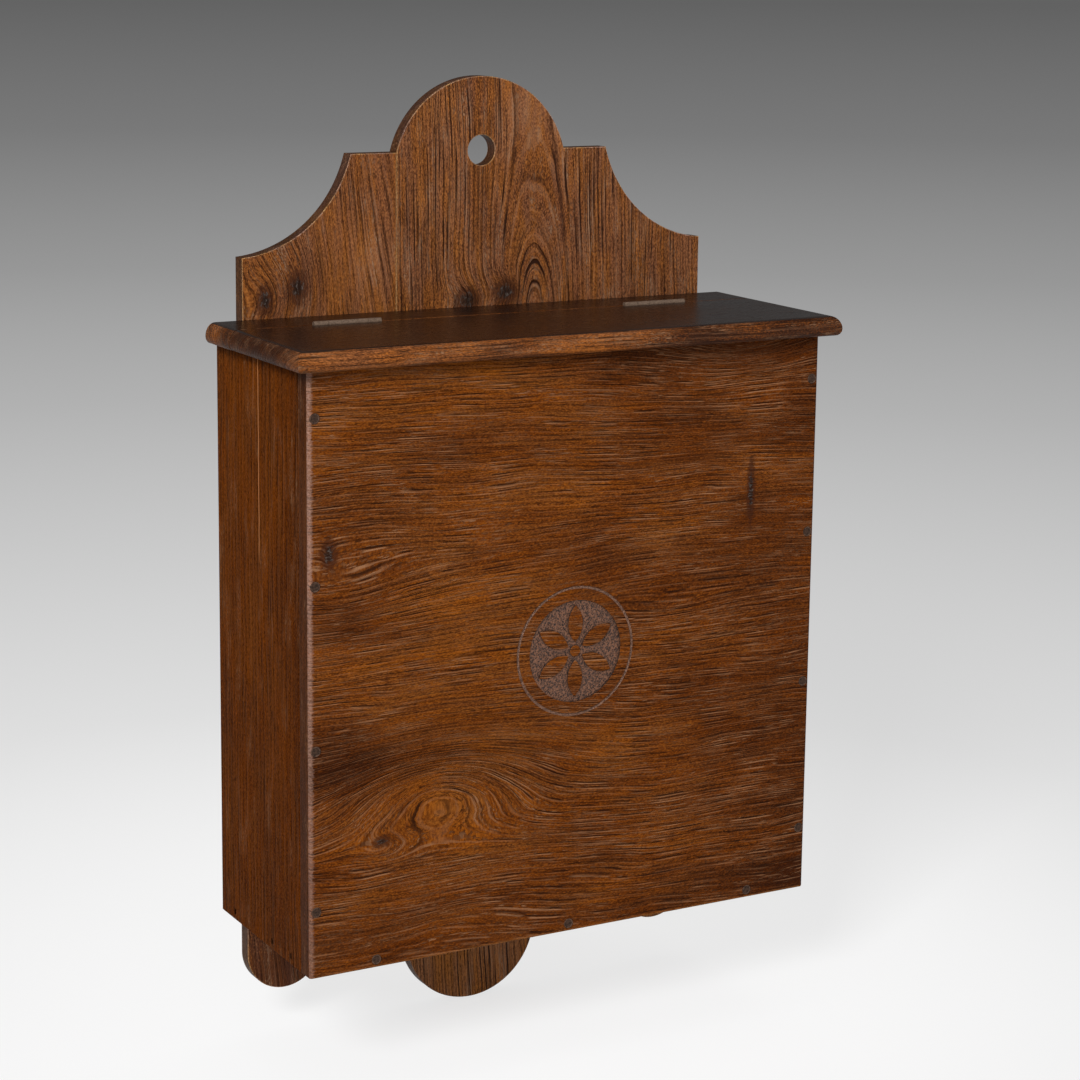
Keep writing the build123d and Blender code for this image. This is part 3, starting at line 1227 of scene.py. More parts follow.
@dataclass
class Case(SubAssembly):
    """Sides, bottom and the lapped front with its carved roundel."""

    front_y: float = -133.0
    end_x: float = 174.5
    worn_arris: float = 2.2
    front_arris: float = 0.7
    side_arris: float = 0.6
    bottom_arris: float = 0.3
    pocket_radius: float = 3.3
    pocket_depth: float = 1.0
    roundel_x: float = 2.0
    roundel_z: float = -294.3
    ring_radius: float = 39.7
    groove: float = 0.85
    ring_bite: float = -0.05
    field_radius: float = 31.7
    field_depth: float = 1.1
    petal_start: float = 5.6
    petal_end: float = 28.6
    petal_arc: float = 15.5
    petal_count: int = 6
    petal_arris: float = 0.45
    boss_radius: float = 3.6
    boss_arris: float = 0.5
    # How far petals and boss go down into the wood, and cutters stand out in front of it.
    root: float = 0.6
    clear: float = 2.0
    # Where the ring's cutter has faces that look this way, at least this much, the groove's wall turns
    # from the key light and gets painted shade, a dark finish.
    shaded: Point = (-0.75, 0.0, 0.66)
    shaded_from: float = 0.3
    # The ground's walls face the front less than this, and a petal's flanks turn from it by this; both
    # get painted shade, a dark outline of the carving.
    wall_to: float = 0.5
    flank_from: float = -0.6

    def plain_board(self, name: str, node: str, arris: float) -> Piece:
        """Make a square-edged board in a CAD node's place, its edges eased.

        Args:
            name: Name of the new object.
            node: The CAD node.
            arris: Width of the eased edges in millimetres.

        Returns:
            The new object.
        """
        low, high = (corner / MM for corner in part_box(node))
        board = Bench.block(name, tuple(low), tuple(high))
        Bench.soften(board, arris)
        return Bench.smooth(board)

    def bored(
        self, name: str, radius: float, x: float, z: float, depth: float, above: float, sides: int
    ) -> Piece:
        """Return a round rod that goes down into the front from above its face."""
        ends = (x, self.front_y + depth, z), (x, self.front_y - above, z)
        return Bench.rod(name, radius, *ends, sides)

    def petal(self) -> Piece:
        """Return one petal that points to the right of the roundel's centre, its top rounded over."""
        middle = (self.petal_start + self.petal_end) / 2
        half = (self.petal_end - self.petal_start) / 2
        drop = math.sqrt(self.petal_arc**2 - half**2)
        x, depth = self.roundel_x + middle, self.field_depth + self.root
        petal = self.bored("petal", self.petal_arc, x, self.roundel_z - drop, depth, 0.0, 192)
        other = self.bored("meet", self.petal_arc, x, self.roundel_z + drop, depth, 0.0, 192)
        Bench.boolean(petal, other, "INTERSECT")
        Bench.clean(petal)
        with Bench.editing(petal):
            Bench.pick_edges(petal, lambda a, b: max(a.y, b.y) < self.front_y + NEAR)
            bpy.ops.mesh.bevel(
                offset=self.petal_arris * MM, segments=3, affect="EDGES", clamp_overlap=True
            )
        return petal

    def petals(self) -> list[Piece]:
        """Return the petals, each turned to its place in the roundel."""
        first = self.petal()
        petals = [first] + [Bench.duplicate(first, "petal") for _ in range(1, self.petal_count)]
        centre = Vector((self.roundel_x, self.front_y, self.roundel_z)) * MM
        for index, petal in enumerate(petals):
            with Bench.editing(petal):
                bpy.ops.mesh.select_all(action="SELECT")
                turn = math.radians(90 + index * 360 / self.petal_count)
                bpy.ops.transform.rotate(value=turn, orient_axis="Y", center_override=centre)
        return petals

    def carve(self, board: Piece, finishes: dict[str, Finish]) -> Piece:
        """Cut the ring and the ground of the roundel and leave its petals and boss standing.

        Args:
            board: The front board.
            finishes: Every material, by the node or the use that it has.

        Returns:
            The same object.
        """
        x, z, wall, shaded = self.roundel_x, self.roundel_z, finishes["painted_shade_wall"], Vector(self.shaded)
        bpy.ops.object.select_all(action="DESELECT")
        bpy.ops.mesh.primitive_torus_add(
            major_radius=self.ring_radius * MM,
            minor_radius=self.groove * MM,
            major_segments=120,
            minor_segments=14,
            location=(x * MM, (self.front_y - self.ring_bite) * MM, z * MM),
            rotation=(math.pi / 2, 0, 0),
        )
        ring = Bench.added("ring")
        # The ring's walls that turn from the key light get painted shade; the rest keep the pale groove
        # finish.
        both = [finishes["ring_groove"], wall]
        Bench.paint(ring, both, lambda face: face.normal.dot(shaded) > self.shaded_from)
        Bench.boolean(board, ring, "DIFFERENCE")
        ground = self.bored("ground", self.field_radius, x, z, self.field_depth, self.clear, 120)
        # The ground's walls get painted shade, a dark outline round the field.
        both = [finishes["ground"], wall]
        Bench.paint(ground, both, lambda face: abs(face.normal.y) < self.wall_to)
        Bench.boolean(board, ground, "DIFFERENCE")
        boss = self.bored("boss", self.boss_radius, x, z, self.field_depth + self.root, 0.0, 40)
        Bench.soften(boss, self.boss_arris)
        standing = [*self.petals(), boss]
        # The flanks of the petals and the boss get painted shade, a dark outline; their tops are the
        # front's oak.
        both = [finishes["front_panel"], wall]
        for piece in standing:
            Bench.paint(piece, both, lambda face: face.normal.y > self.flank_from)
        return Bench.join([board, *standing], board.name)

    def front(self, finishes: dict[str, Finish]) -> Piece:
        """Make the front board with its worn arrises, nail pockets and roundel.

        Args:
            finishes: Every material, by the node or the use that it has.

        Returns:
            The new object.
        """
        low, high = (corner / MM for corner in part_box("front_panel"))
        board = Bench.block("front_board", tuple(low), tuple(high))
        with Bench.editing(board):
            face_y = self.front_y + NEAR
            Bench.pick_edges(board, lambda a, b: max(a.y, b.y) < face_y and abs(a.x - b.x) < NEAR)
            bpy.ops.mesh.bevel(offset=self.worn_arris * MM, segments=5, affect="EDGES")
        Bench.soften(board, self.front_arris, sharpness=40)
        Bench.paint(board, [finishes["front_panel"]])
        pockets = [
            self.bored("pocket", self.pocket_radius, x, z, self.pocket_depth, self.clear, 32)
            for node, count in NAIL_ROWS.items()
            for x, _, z in nail_heads(node, count)
        ]
        Bench.boolean(board, Bench.join(pockets, "pockets"), "DIFFERENCE")
        self.carve(board, finishes)
        board.data.materials.append(finishes["front_edge"])
        for face in board.data.polygons:
            if abs(face.normal.x) > LOOKS and abs(face.center.x) > self.end_x * MM:
                face.material_index = len(board.data.materials) - 1
        return Bench.smooth(board)

    def build(self, finishes: dict[str, Finish]) -> None:
        """Model the four boards and dress them.

        Args:
            finishes: Every material, by the node or the use that it has.
        """
        for name, node, arris in (
            ("left_side_board", "left_side", self.side_arris),
            ("right_side_board", "right_side", self.side_arris),
            ("bottom_boarding", "bottom_board", self.bottom_arris),
        ):
            board = self.plain_board(name, node, arris)
            self.hang(board, Body.CASE, "oak_side", [node], [finishes[node]])
        self.hang(self.front(finishes), Body.CASE, "oak_front", ["front_panel"])


@dataclass
class Cover(SubAssembly):
    """Hinge rail and lid, with the nosing drawn up ring by ring from the underside."""

    top_inset: float = 6.3
    bottom_inset: float = 3.2
    nose: float = 4.4
    lower_rings: int = 4
    upper_rings: int = 8
    arris: float = 0.35
    hinge_half: float = 22.225
    hinge_xs: tuple[float, float] = (-109.775, 106.275)
    axis: tuple[float, float] = (-46.9, -97.8)
    leaf: float = 1.2
    gap: float = 0.8
    reach: float = 10.0
    above: float = 4.0
    knuckle_radius: float = 1.9
    play: float = 0.3
    # Least upward facing of the faces that are polished and not moulded.
    top_from: float = 0.93

    def profile(self, height: float) -> list[tuple[float, float]]:
        """Work out the rings of the nosing.

        Args:
            height: Thickness of the board in millimetres.

        Returns:
            Each ring's height above the underside and its inset from the tip, in millimetres.
        """
        rings = []
        for step in range(self.lower_rings + 1):
            turn = math.pi / 2 * step / self.lower_rings
            rings.append((self.nose * (1 - math.cos(turn)), self.bottom_inset * (1 - math.sin(turn))))
        for step in range(1, self.upper_rings + 1):
            turn = math.pi / 2 * step / self.upper_rings
            rise = (height - self.nose) * math.sin(turn)
            rings.append((self.nose + rise, self.top_inset * (1 - math.cos(turn))))
        return rings

    def moulded(self, name: str, node: str, nose_front: bool) -> Piece:
        """Make a board whose ends, and its front edge if asked, carry the nosing.

        Args:
            name: Name of the new object.
            node: CAD node in whose box the board is made.
            nose_front: Whether the front edge is moulded too.

        Returns:
            The new object.
        """
        low, high = (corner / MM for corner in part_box(node))
        centre_x = (low.x + high.x) / 2
        heights, insets = zip(*self.profile(high.z - low.z))
        half_widths = [(high.x - low.x) / 2 - inset for inset in insets]
        depths = [high.y - low.y - (inset if nose_front else 0.0) for inset in insets]
        bpy.ops.object.select_all(action="DESELECT")
        bpy.ops.mesh.primitive_plane_add(
            size=1.0, location=(centre_x * MM, (high.y - depths[0] / 2) * MM, low.z * MM)
        )
        bpy.context.object.scale = (2 * half_widths[0] * MM, depths[0] * MM, 1)
        board = Bench.added(name)
        with Bench.editing(board):
            bpy.ops.mesh.select_all(action="SELECT")
            for ring in range(1, len(heights)):
                bpy.ops.mesh.extrude_region_move(
                    TRANSFORM_OT_translate={"value": (0, 0, (heights[ring] - heights[ring - 1]) * MM)}
                )
                wider, deeper = (size[ring] / size[ring - 1] for size in (half_widths, depths))
                bpy.ops.transform.resize(
                    value=(wider, deeper, 1),
                    center_override=(centre_x * MM, high.y * MM, (low.z + heights[ring]) * MM),
                )
            Bench.face_outwards()
        return board

    def mortise(self, board: Piece, direction: int) -> Piece:
        """Cut the housings of both hinges.

        Args:
            board: The rail or the lid.
            direction: 1 for a housing towards the wall, -1 for one away from it.

        Returns:
            The same object.
        """
        axis_y, axis_z = self.axis
        leaf_y = axis_y + direction * (self.gap / 2 + self.leaf)
        reach = self.hinge_half + self.play
        for x in self.hinge_xs:
            housing = Bench.block(
                "housing",
                (x - self.hinge_half, min(axis_y, leaf_y), axis_z - self.reach),
                (x + self.hinge_half, max(axis_y, leaf_y), axis_z + self.above),
            )
            Bench.boolean(board, housing, "DIFFERENCE")
            ends = (x - reach, axis_y, axis_z), (x + reach, axis_y, axis_z)
            relief = Bench.rod("relief", self.knuckle_radius + self.play, *ends, sides=40)
            Bench.boolean(board, relief, "DIFFERENCE")
        return board

    def build(self, finishes: dict[str, Finish]) -> None:
        """Model the rail and the lid and dress them.

        Args:
            finishes: Every material, by the node or the use that it has.
        """
        for name, node, moulding, body, nose_front, direction in (
            ("moulded_rail", "hinge_rail", "rail_moulding", Body.CASE, False, 1),
            ("moulded_lid", "lid", "lid_moulding", Body.LID, True, -1),
        ):
            board = self.moulded(name, node, nose_front)
            Bench.clean(self.mortise(board, direction))
            Bench.soften(board, self.arris, segments=2, sharpness=50)
            Bench.smooth(board, 40)
            both = [finishes[node], finishes[moulding]]
            Bench.paint(board, both, lambda face: face.normal.z < self.top_from)
            self.hang(board, body, "oak_cover", [node])


def nail_heads(node: str, count: int) -> list[Point]:
    """Find the centres of the heads in a CAD node of nails that stand in one row.

    Args:
        node: The CAD node.
        count: How many nails it has.

    Returns:
        The centre of each head's outer face, in millimetres.
    """
    low, high = (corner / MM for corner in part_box(node))
    radius = min(high.x - low.x, high.z - low.z) / 2
    shares = [i / (count - 1) for i in range(count)]
    if high.z - low.z > high.x - low.x:
        first, last = low.z + radius, high.z - radius
        return [((low.x + high.x) / 2, low.y, first + (last - first) * share) for share in shares]
    first, last = low.x + radius, high.x - radius
    return [(first + (last - first) * share, low.y, (low.z + high.z) / 2) for share in shares]


@dataclass
class FrontNails(SubAssembly):
    """Round-headed iron nails that hold the front."""

    head_radius: float = 3.1
    head_thickness: float = 0.9
    head_gap: float = 0.02
    head_arris: float = 0.22
    sides: int = 28
    # Insets that dish the head, from its rim inwards, each as its width and its depth.
    dishing: tuple[tuple[float, float], ...] = ((0.42, 0.0), (0.30, -0.28), (0.85, -0.04))
    shank: float = 2.2
    length: float = 32.0
    point_gap: float = 0.3
    taper: Point = (0.35, 1.0, 0.9)
    # The faces of the rim: how far back and how far in from the head's edge they reach.
    rim_back: float = 0.2
    rim_width: float = 0.6

    def nail(self) -> Piece:
        """Return one nail whose head is centred on the origin and faces -Y."""
        ends = (0, self.head_thickness, 0), (0, self.head_gap, 0)
        nail = Bench.rod("nail", self.head_radius, *ends, self.sides)
        with Bench.editing(nail):
            Bench.pick_faces(nail, lambda normal: normal.y < -LOOKS)
            for width, depth in self.dishing:
                bpy.ops.mesh.inset(thickness=width * MM, depth=depth * MM)
            Bench.pick_faces(nail, lambda normal: normal.y > LOOKS)
            bpy.ops.mesh.inset(thickness=(self.head_radius - self.shank / 2) * MM, depth=0.0)
            shank = self.length - self.head_thickness - self.point_gap
            bpy.ops.mesh.extrude_region_move(TRANSFORM_OT_translate={"value": (0, shank * MM, 0)})
            bpy.ops.transform.resize(value=self.taper, center_override=(0, self.length * MM, 0))
            rim_y, rim_reach = self.head_gap + NEAR, self.head_radius - 0.05
            Bench.pick_edges(
                nail, lambda a, b: max(a.y, b.y) < rim_y and min(a.xz.length, b.xz.length) > rim_reach
            )
            bpy.ops.mesh.bevel(offset=self.head_arris * MM, segments=2, affect="EDGES")
        return Bench.smooth(nail, 50)

    def build(self, finishes: dict[str, Finish]) -> None:
        """Model one nail and copy it to every head's place.

        Args:
            finishes: Every material, by the node or the use that it has.
        """

        def on_rim(face: bpy.types.MeshPolygon) -> bool:
            """Return whether a face of the nail belongs to the bright rim of its head."""
            centre = face.center / MM
            return centre.y < self.rim_back and centre.xz.length > self.head_radius - self.rim_width

        pattern = Bench.paint(self.nail(), [finishes["nail_iron"], finishes["nail_rim"]], on_rim)
        for node, count in NAIL_ROWS.items():
            for number, place in enumerate(nail_heads(node, count), start=1):
                nail = Bench.duplicate(pattern, f"{node}_{number}", place)
                self.hang(nail, Body.CASE, "nail_iron", [node])
        bpy.data.objects.remove(pattern)


@dataclass
class Brads(SubAssembly):
    """Cut brads in the sides and the back, whose small flush heads are all that shows."""

    nodes: tuple[str, ...] = (
        "left_side_brads", "right_side_brads", "bottom_back_brads", "hinge_rail_back_brads"
    )

    def build(self, finishes: dict[str, Finish]) -> None:
        """Dress the CAD brads with iron."""
        for node in self.nodes:
            self.keep(node, finishes["nail_iron"])


@dataclass
class Hinges(SubAssembly):
    """Two butt hinges, whose CAD leaves, pins and screws are already in their real shapes."""

    sides: tuple[str, ...] = ("left", "right")
    brass: tuple[str, ...] = ("rail_leaf", "lid_leaf", "pin")
    steel: tuple[str, ...] = ("rail_screws", "lid_screws")

    def build(self, finishes: dict[str, Finish]) -> None:
        """Dress the CAD hinges.

        Args:
            finishes: Every material, by the node or the use that it has.
        """
        for side in self.sides:
            for parts, finish in ((self.brass, "hinge_brass"), (self.steel, "screw_steel")):
                for part in parts:
                    self.keep(f"{side}_hinge_{part}", finishes[finish])


# ---------------------------------------------------------------- studio


@dataclass
class Studio:
    """Pale floor, plain soft light and the camera. Places of lamps are in metres."""

    floor_z: float = -559.5
    camera_place: Point = (-790.64, -1502.36, 125.19)
    yaw: float = -0.51027
    pitch: float = -0.18551
    roll: float = 0.0118
    lens: float = 89.67
    sensor: float = 36.0
    shift: float = -0.0815
    middle: Point = (0.0, -0.07, -0.26)
    # Brightness of the floor, by its distance d from the box in metres, as d / (d + 3).
    greys: tuple[tuple[float, float], ...] = (
        (0.06, 1.25), (0.14, 1.05), (0.23, 0.79), (0.33, 0.64),
        (0.45, 0.46), (0.58, 0.31), (0.74, 0.19), (0.92, 0.122),
    )
    paper: float = 0.42
    sky: float = 0.34
    backdrop: float = 0.125

    def camera(self) -> None:
        """Create the camera at the photograph's viewing angle."""
        forward = Vector(
            (
                -math.sin(self.yaw) * math.cos(self.pitch),
                math.cos(self.yaw) * math.cos(self.pitch),
                math.sin(self.pitch),
            )
        )
        level = Vector((math.cos(self.yaw), math.sin(self.yaw), 0))
        rise = level.cross(forward)
        right = math.cos(self.roll) * level + math.sin(self.roll) * rise
        up = math.cos(self.roll) * rise - math.sin(self.roll) * level
        data = bpy.data.cameras.new("camera")
        data.lens = self.lens
        data.sensor_width = self.sensor
        data.shift_y = self.shift
        data.clip_start = 0.05
        camera = bpy.data.objects.new("camera", data)
        bpy.context.scene.collection.objects.link(camera)
        turn = Matrix((right, up, -forward)).transposed().to_4x4()
        camera.matrix_world = Matrix.Translation(Vector(self.camera_place) * MM) @ turn
        bpy.context.scene.camera = camera

    def lamp(self, name: str, place: Point, aim: Point, size: float, power: float) -> None:
        """Add a square soft lamp.

        Args:
            name: Name of the lamp.
            place: Where it hangs, in metres.
            aim: The point that it faces, in metres.
            size: Length of its sides in metres.
            power: Power in watts.
        """
        data = bpy.data.lights.new(name, "AREA")
        data.shape = "SQUARE"
        data.size = size
        data.energy = power
        lamp = bpy.data.objects.new(name, data)
        bpy.context.scene.collection.objects.link(lamp)
        lamp.location = place
        lamp.rotation_euler = (Vector(aim) - Vector(place)).to_track_quat("-Z", "Y").to_euler()

    def seen(self, graph: Graph) -> Socket:
        """Return 1 where the camera or a reflection looks, and 0 where light alone goes."""
        rays = graph.node("LightPath").outputs
        return graph.most(rays["Is Camera Ray"], rays["Is Glossy Ray"])

    def floor(self) -> None:
        """Add the pale floor, which keeps the shadow of the box."""
        bpy.ops.object.select_all(action="DESELECT")
        bpy.ops.mesh.primitive_circle_add(
            vertices=96, radius=400.0, fill_type="NGON", location=(0, 0, self.floor_z * MM)
        )
        floor = Bench.added("floor")
        graph = Graph.named("floor_paper")
        distance = graph.vector("LENGTH", graph.node("TexCoord").outputs["Object"])
        outward = graph.math("DIVIDE", distance, graph.math("ADD", distance, 3.0))
        tone = graph.ramp(outward, [(place, (grey,) * 3) for place, grey in self.greys])
        seen = self.seen(graph)
        paper = graph.node("BsdfDiffuse", {"Color": graph.blend(seen, (self.paper,) * 3, tone)})
        glow = graph.node("Emission", {"Color": tone, "Strength": 1.0})
        share = graph.times(seen, graph.step(outward, 0.15, 0.6, 0.7, 1.0))
        mix = graph.node("MixShader", {0: share, 1: paper.outputs[0], 2: glow.outputs[0]})
        Bench.paint(floor, [graph.finish(mix.outputs[0])])

    def world(self) -> None:
        """Light the scene evenly and show a pale grey beyond the floor."""
        bpy.context.scene.world = bpy.data.worlds.new("studio")
        graph = Graph(bpy.context.scene.world)
        light = graph.node("Background", {"Color": (self.sky,) * 3}).outputs[0]
        backdrop = graph.node("Background", {"Color": (self.backdrop,) * 3}).outputs[0]
        mix = graph.node("MixShader", {0: self.seen(graph), 1: light, 2: backdrop})
        graph.finish(mix.outputs[0], "OutputWorld")

    def build(self) -> None:
        """Set up the camera, the floor, the lamps and the world."""
        self.camera()
        self.floor()
        self.world()
        self.lamp("key", (-1.9, -1.9, 1.25), self.middle, 0.8, 83.0)
        self.lamp("fill", (1.6, -2.2, 0.4), self.middle, 1.8, 18.0)
        self.lamp("top", (0.2, -0.2, 1.9), self.middle, 1.4, 6.0)
        self.lamp("low", (-0.5, -2.2, -0.46), (0.0, -0.07, -0.42), 0.9, 11.0)
        bpy.context.scene.view_settings.view_transform = "Standard"


def oak_finishes() -> dict[str, Oak]:
    """Return the oak of every board, by the node or the use that it has."""
    side = {
        "dark": (0.052, 0.0115, 0.0018),
        "middle": (0.128, 0.0310, 0.0036),
        "light": (0.198, 0.0550, 0.0070),
        "pale_share": 0.3,
        "pore_strength": 0.7,
        "furrow": 0.6,
        "lip": 0.35,
        "fibre": 1.9,
        "cloud": 0.6,
        "roughness": 0.50,
        "gloss": 0.02,
        "index": 1.2,
        "relief": 0.9,
        "reach": 70.0,
    }
    back = {
        "grain": Grain.UP_FRONT,
        "dark": (0.070, 0.0200, 0.0068),
        "middle": (0.187, 0.0610, 0.0185),
        "light": (0.295, 0.1080, 0.0330),
        "pale_pore": (0.30, 0.18, 0.11),
        "ring": 2.4,
        "tone": 0.5,
        "fibre": 2.5,
        "furrow": 0.85,
        "lip": 0.55,
        "seam": 0.4,
        "relief": 1.1,
        "reach": 85.0,
        # Painted light: a broad band across the bottom, round the lobe below the case, is lightened to
        # lift the shade that the case casts there.
        "stains_and_painted_light": (Patch(-530.0, 0.0, 210.0, 0.28, 0.5),),
    }
    calm = {
        "furrow": 0.6,
        "lip": 0.4,
        "fibre": 2.0,
        # Painted shade: the left foot is darkened as if in the shadow of the box.
        "stains_and_painted_light": (Patch(-515.0, 137.0, 40.0, 1.0, -0.62),),
    }
    bold = {"ring": 2.1, "furrow": 1.0, "relief": 1.4}
    edge = {
        "grain": Grain.UP_FRONT,
        "dark": (0.024, 0.0090, 0.0045),
        "middle": (0.062, 0.0240, 0.0115),
        "light": (0.120, 0.0500, 0.0250),
        "furrow": 0.4,
        "lip": 0.2,
        "relief": 0.5,
    }
    browned = {
        "dark": (0.028, 0.0072, 0.0018),
        "middle": (0.062, 0.0170, 0.0040),
        "light": (0.110, 0.0330, 0.0080),
        "gloss": 0.02,
        "lip": 0.0,
    }
    # Pale arris of the backboard: worn wood, and a painted highlight of the rounded arris.
    arris = {
        "grain": Grain.UP_FRONT,
        "dark": (0.110, 0.0480, 0.0240),
        "middle": (0.260, 0.1300, 0.0750),
        "light": (0.480, 0.3000, 0.2000),
        "furrow": 0.5,
        "lip": 0.3,
        "relief": 0.5,
    }
    polished = {
        "grain": Grain.ACROSS_TOP,
        "dark": (0.006, 0.0015, 0.0003),
        "middle": (0.0110, 0.0027, 0.0004),
        "light": (0.020, 0.0050, 0.0009),
        "pale_share": 0.0,
        "pore_strength": 0.3,
        "furrow": 0.35,
        "lip": 0.08,
        "fibre": 0.8,
        "roughness": 0.26,
        "gloss": 0.32,
        "relief": 0.12,
    }
    moulded = {
        "grain": Grain.ACROSS_TOP,
        "dark": (0.034, 0.0090, 0.0020),
        "middle": (0.130, 0.0360, 0.0070),
        "light": (0.300, 0.0950, 0.0220),
        "pale_share": 0.6,
        "pore_strength": 0.8,
        "fibre": 1.9,
        "cloud": 1.9,
        "gloss": 0.10,
        # Patches that darken across the left end and over the right of the front nosing, and lighten
        # the nosing's left.
        "stains_and_painted_light": (
            Patch(-184.0, -90.0, 70.0, 0.17, -0.45),
            Patch(120.0, -146.0, 125.0, 1.0, -0.33),
            Patch(-110.0, -146.0, 60.0, 1.0, 0.14),
        ),
    }
    return {
        "front_panel": Oak(
            name="oak_front",
            grain=Grain.ACROSS_FRONT,
            pith=(-520.0, 60.0),
            lean=(-0.02, -0.04),
            wander=15.0,
            shake=1.8,
            dark=(0.032, 0.0070, 0.0011),
            middle=(0.113, 0.0272, 0.0034),
            light=(0.236, 0.0690, 0.0088),
            pale_pore=(0.25, 0.118, 0.056),
            pale_share=0.7,
            fine_pale=0.35,
            lip=0.9,
            seam=0.75,
            fibre=1.4,
            reach=30.0,
            gloss=0.05,
            index=1.35,
            knots=(
                Knot(-162.0, -218.0, 9.0, 6.0, 2.0, stretch=0.6),
                Knot(-172.0, -232.0, 0.0, 30.0, 6.0, core=0.0, stretch=2.0, swell=0.45),
                Knot(-128.0, -395.0, 3.4, 9.0, 2.0, swell=0.6),
                Knot(-90.0, -369.0, 0.0, 25.0, -37.0, core=0.0, stretch=2.2),
                Knot(126.7, -206.0, 21.0, 1.0, 0.0, core=1.0, stretch=0.13),
                Knot(118.0, -106.0, 0.0, 19.0, 23.0, core=0.0, stretch=2.5),
            ),
            waxes=(
                Patch(-80.0, -420.0, 45.0, 1.8, 0.10),
                Patch(100.0, -126.0, 14.0, 3.0, 0.34),
                Patch(165.0, -270.0, 70.0, 0.35, 0.08),
            ),
            # Patches that lighten or darken the tone: darker and lighter spots at the left, lighter
            # over the left middle and the top left, darker along the right end, at the bottom right,
            # along the bottom and at the top right.
            stains_and_painted_light=(
                Patch(-150.0, -345.0, 24.0, 1.4, -0.40),
                Patch(-150.0, -262.0, 12.0, 2.2, -0.34),
                Patch(-100.0, -280.0, 80.0, 1.0, 0.20),
                Patch(-60.0, -122.0, 30.0, 2.6, 0.22),
                Patch(60.0, -122.0, 22.0, 1.8, -0.34),
                Patch(175.0, -330.0, 140.0, 0.35, -0.20),
                Patch(175.0, -470.0, 45.0, 1.0, -0.20),
                Patch(-88.0, -380.0, 13.0, 2.2, 0.14),
                Patch(130.0, -112.0, 18.0, 5.0, -0.12),
                Patch(0.0, -470.0, 30.0, 6.0, -0.12),
                Patch(-140.0, -290.0, 9.0, 2.0, 0.14),
            ),
            # The left arris's pale strip is rubbed wood and also a painted highlight of the rounded
            # arris that catches the light; the bottom arris grows paler towards the right.
            wears_and_highlights=(
                WearAndHighlight(1, (-175.0, 0.0, 133.0), 2.9, 0.8, (0.32, 0.190, 0.145), (-620.0, -190.0)),
                WearAndHighlight(0, (0.0, -472.6, 133.0), 1.3, 0.6, (0.33, 0.13, 0.035), (-400.0, 175.0)),
            ),
        ),
        "left_side": Oak(
            name="oak_left_side",
            grain=Grain.UP_LEFT,
            pith=(-210.0, -30.0),
            # Patches that darken the side low down and in a long strip beside its front edge.
            stains_and_painted_light=(
                Patch(-450.0, -60.0, 110.0, 1.6, -0.16),
                Patch(-230.0, -125.0, 30.0, 5.0, -0.28),
            ),
            splits=(
                Split(-63.0, -236.5, -100.0, 1.0, (0.42, 0.17, 0.06)),
                Split(-77.0, -205.0, -150.0, 0.7, (0.020, 0.006, 0.002)),
                Split(-52.0, -200.0, -140.0, 0.6, (0.020, 0.006, 0.002)),
            ),
            **side,
        ),
        "right_side": Oak(name="oak_right_side", grain=Grain.UP_RIGHT, pith=(150.0, -25.0), **side),
        "bottom_board": Oak(name="oak_bottom", grain=Grain.ACROSS_UNDER, pith=(60.0, -40.0), **side),
        "backboard_left_board": Oak(
            name="oak_back_left",
            pith=(40.0, -48.0),
            lean=(0.05, 0.06),
            knots=(
                Knot(-87.0, 147.5, 5.5, 13.0, 8.0),
                Knot(-80.0, 126.0, 6.5, 18.0, 10.0),
            ),
            **(back | calm),
        ),
        "backboard_right_board": Oak(
            name="oak_back_right",
            pith=(-38.0, -43.5),
            lean=(0.03, 0.0),
            knots=(
                Knot(-94.0, 9.6, 9.0, 14.0, 8.0, stretch=0.9),
                Knot(-90.0, -17.5, 9.0, 12.0, 9.0, stretch=0.9),
                Knot(-108.0, -38.0, 0.0, 24.0, 0.0, core=0.0, stretch=2.4, sink=-12.0),
            ),
            **(back | bold),
        ),
        "back_edge": Oak(name="oak_back_edge", pith=(30.0, -90.0), **edge),
        "back_arris": Oak(name="oak_back_arris", pith=(30.0, -90.0), **arris),
        "front_edge": Oak(name="oak_front_edge", pith=(30.0, -90.0), **(edge | browned)),
        "hinge_rail": Oak(name="oak_rail", pith=(60.0, -160.0), **polished),
        "lid": Oak(name="oak_lid", pith=(-170.0, -160.0), **polished),
        "rail_moulding": Oak(name="oak_rail_moulding", pith=(60.0, -160.0), **moulded),
        "lid_moulding": Oak(name="oak_lid_moulding", pith=(-170.0, -160.0), **moulded),
    }


def build_finishes() -> dict[str, Finish]:
    """Return every material, by the node or the use that it has."""
    dull, bright = {"metallic": 0.0}, {"metallic": 0.3}
    finishes = {use: oak.build() for use, oak in oak_finishes().items()}
    finishes["ground"] = PunchedGround().build()
    for finish in (
        # Pale wax in the ring's groove, which also stands for a painted highlight on the walls that
        # face the key light.
        PunchedGround("ring_groove", 0.5, (0.085, 0.038, 0.022), (0.230, 0.115, 0.070)),
        # Painted shade: the dark walls of the carving and the groove's side turned from the light.
        PunchedGround("painted_shade_wall", 0.5, (0.010, 0.004, 0.002), (0.050, 0.020, 0.010)),
        OldMetal("nail_iron", (0.044, 0.020, 0.010), (0.014, 0.007, 0.004), 0.75, **dull),
        OldMetal("nail_rim", (0.085, 0.044, 0.026), (0.020, 0.010, 0.006), 0.65, **dull),
        OldMetal("screw_steel", (0.32, 0.28, 0.24), (0.15, 0.12, 0.09), 0.35),
        OldMetal("hinge_brass", (0.17, 0.115, 0.08), (0.095, 0.06, 0.04), 0.55, **bright),
    ):
        finishes[finish.name] = finish.build()
    return finishes


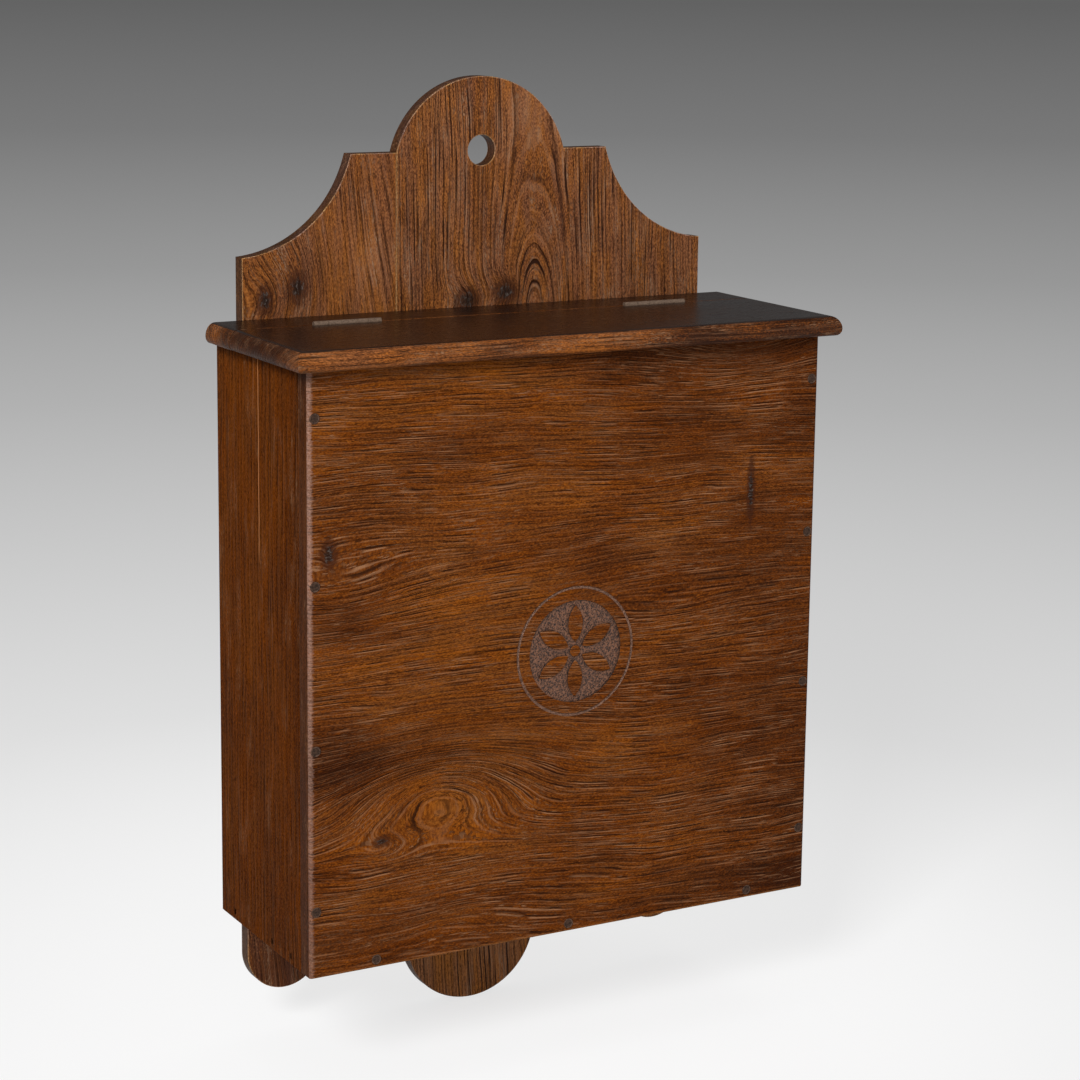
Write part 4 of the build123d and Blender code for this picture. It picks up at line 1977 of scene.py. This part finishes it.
def main() -> None:
    """Load the frame, model and dress every piece, and set up the studio."""
    logging.basicConfig(level=logging.INFO, format="%(message)s")
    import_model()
    bpy.ops.object.select_all(action="DESELECT")
    finishes = build_finishes()
    for assembly in (Backboard(), Case(), Cover(), FrontNails(), Brads(), Hinges()):
        assembly.build(finishes)
        log.info("%s: %d pieces", type(assembly).__name__, len(assembly.made))
    Studio().build()


if __name__ == "__main__":
    main()
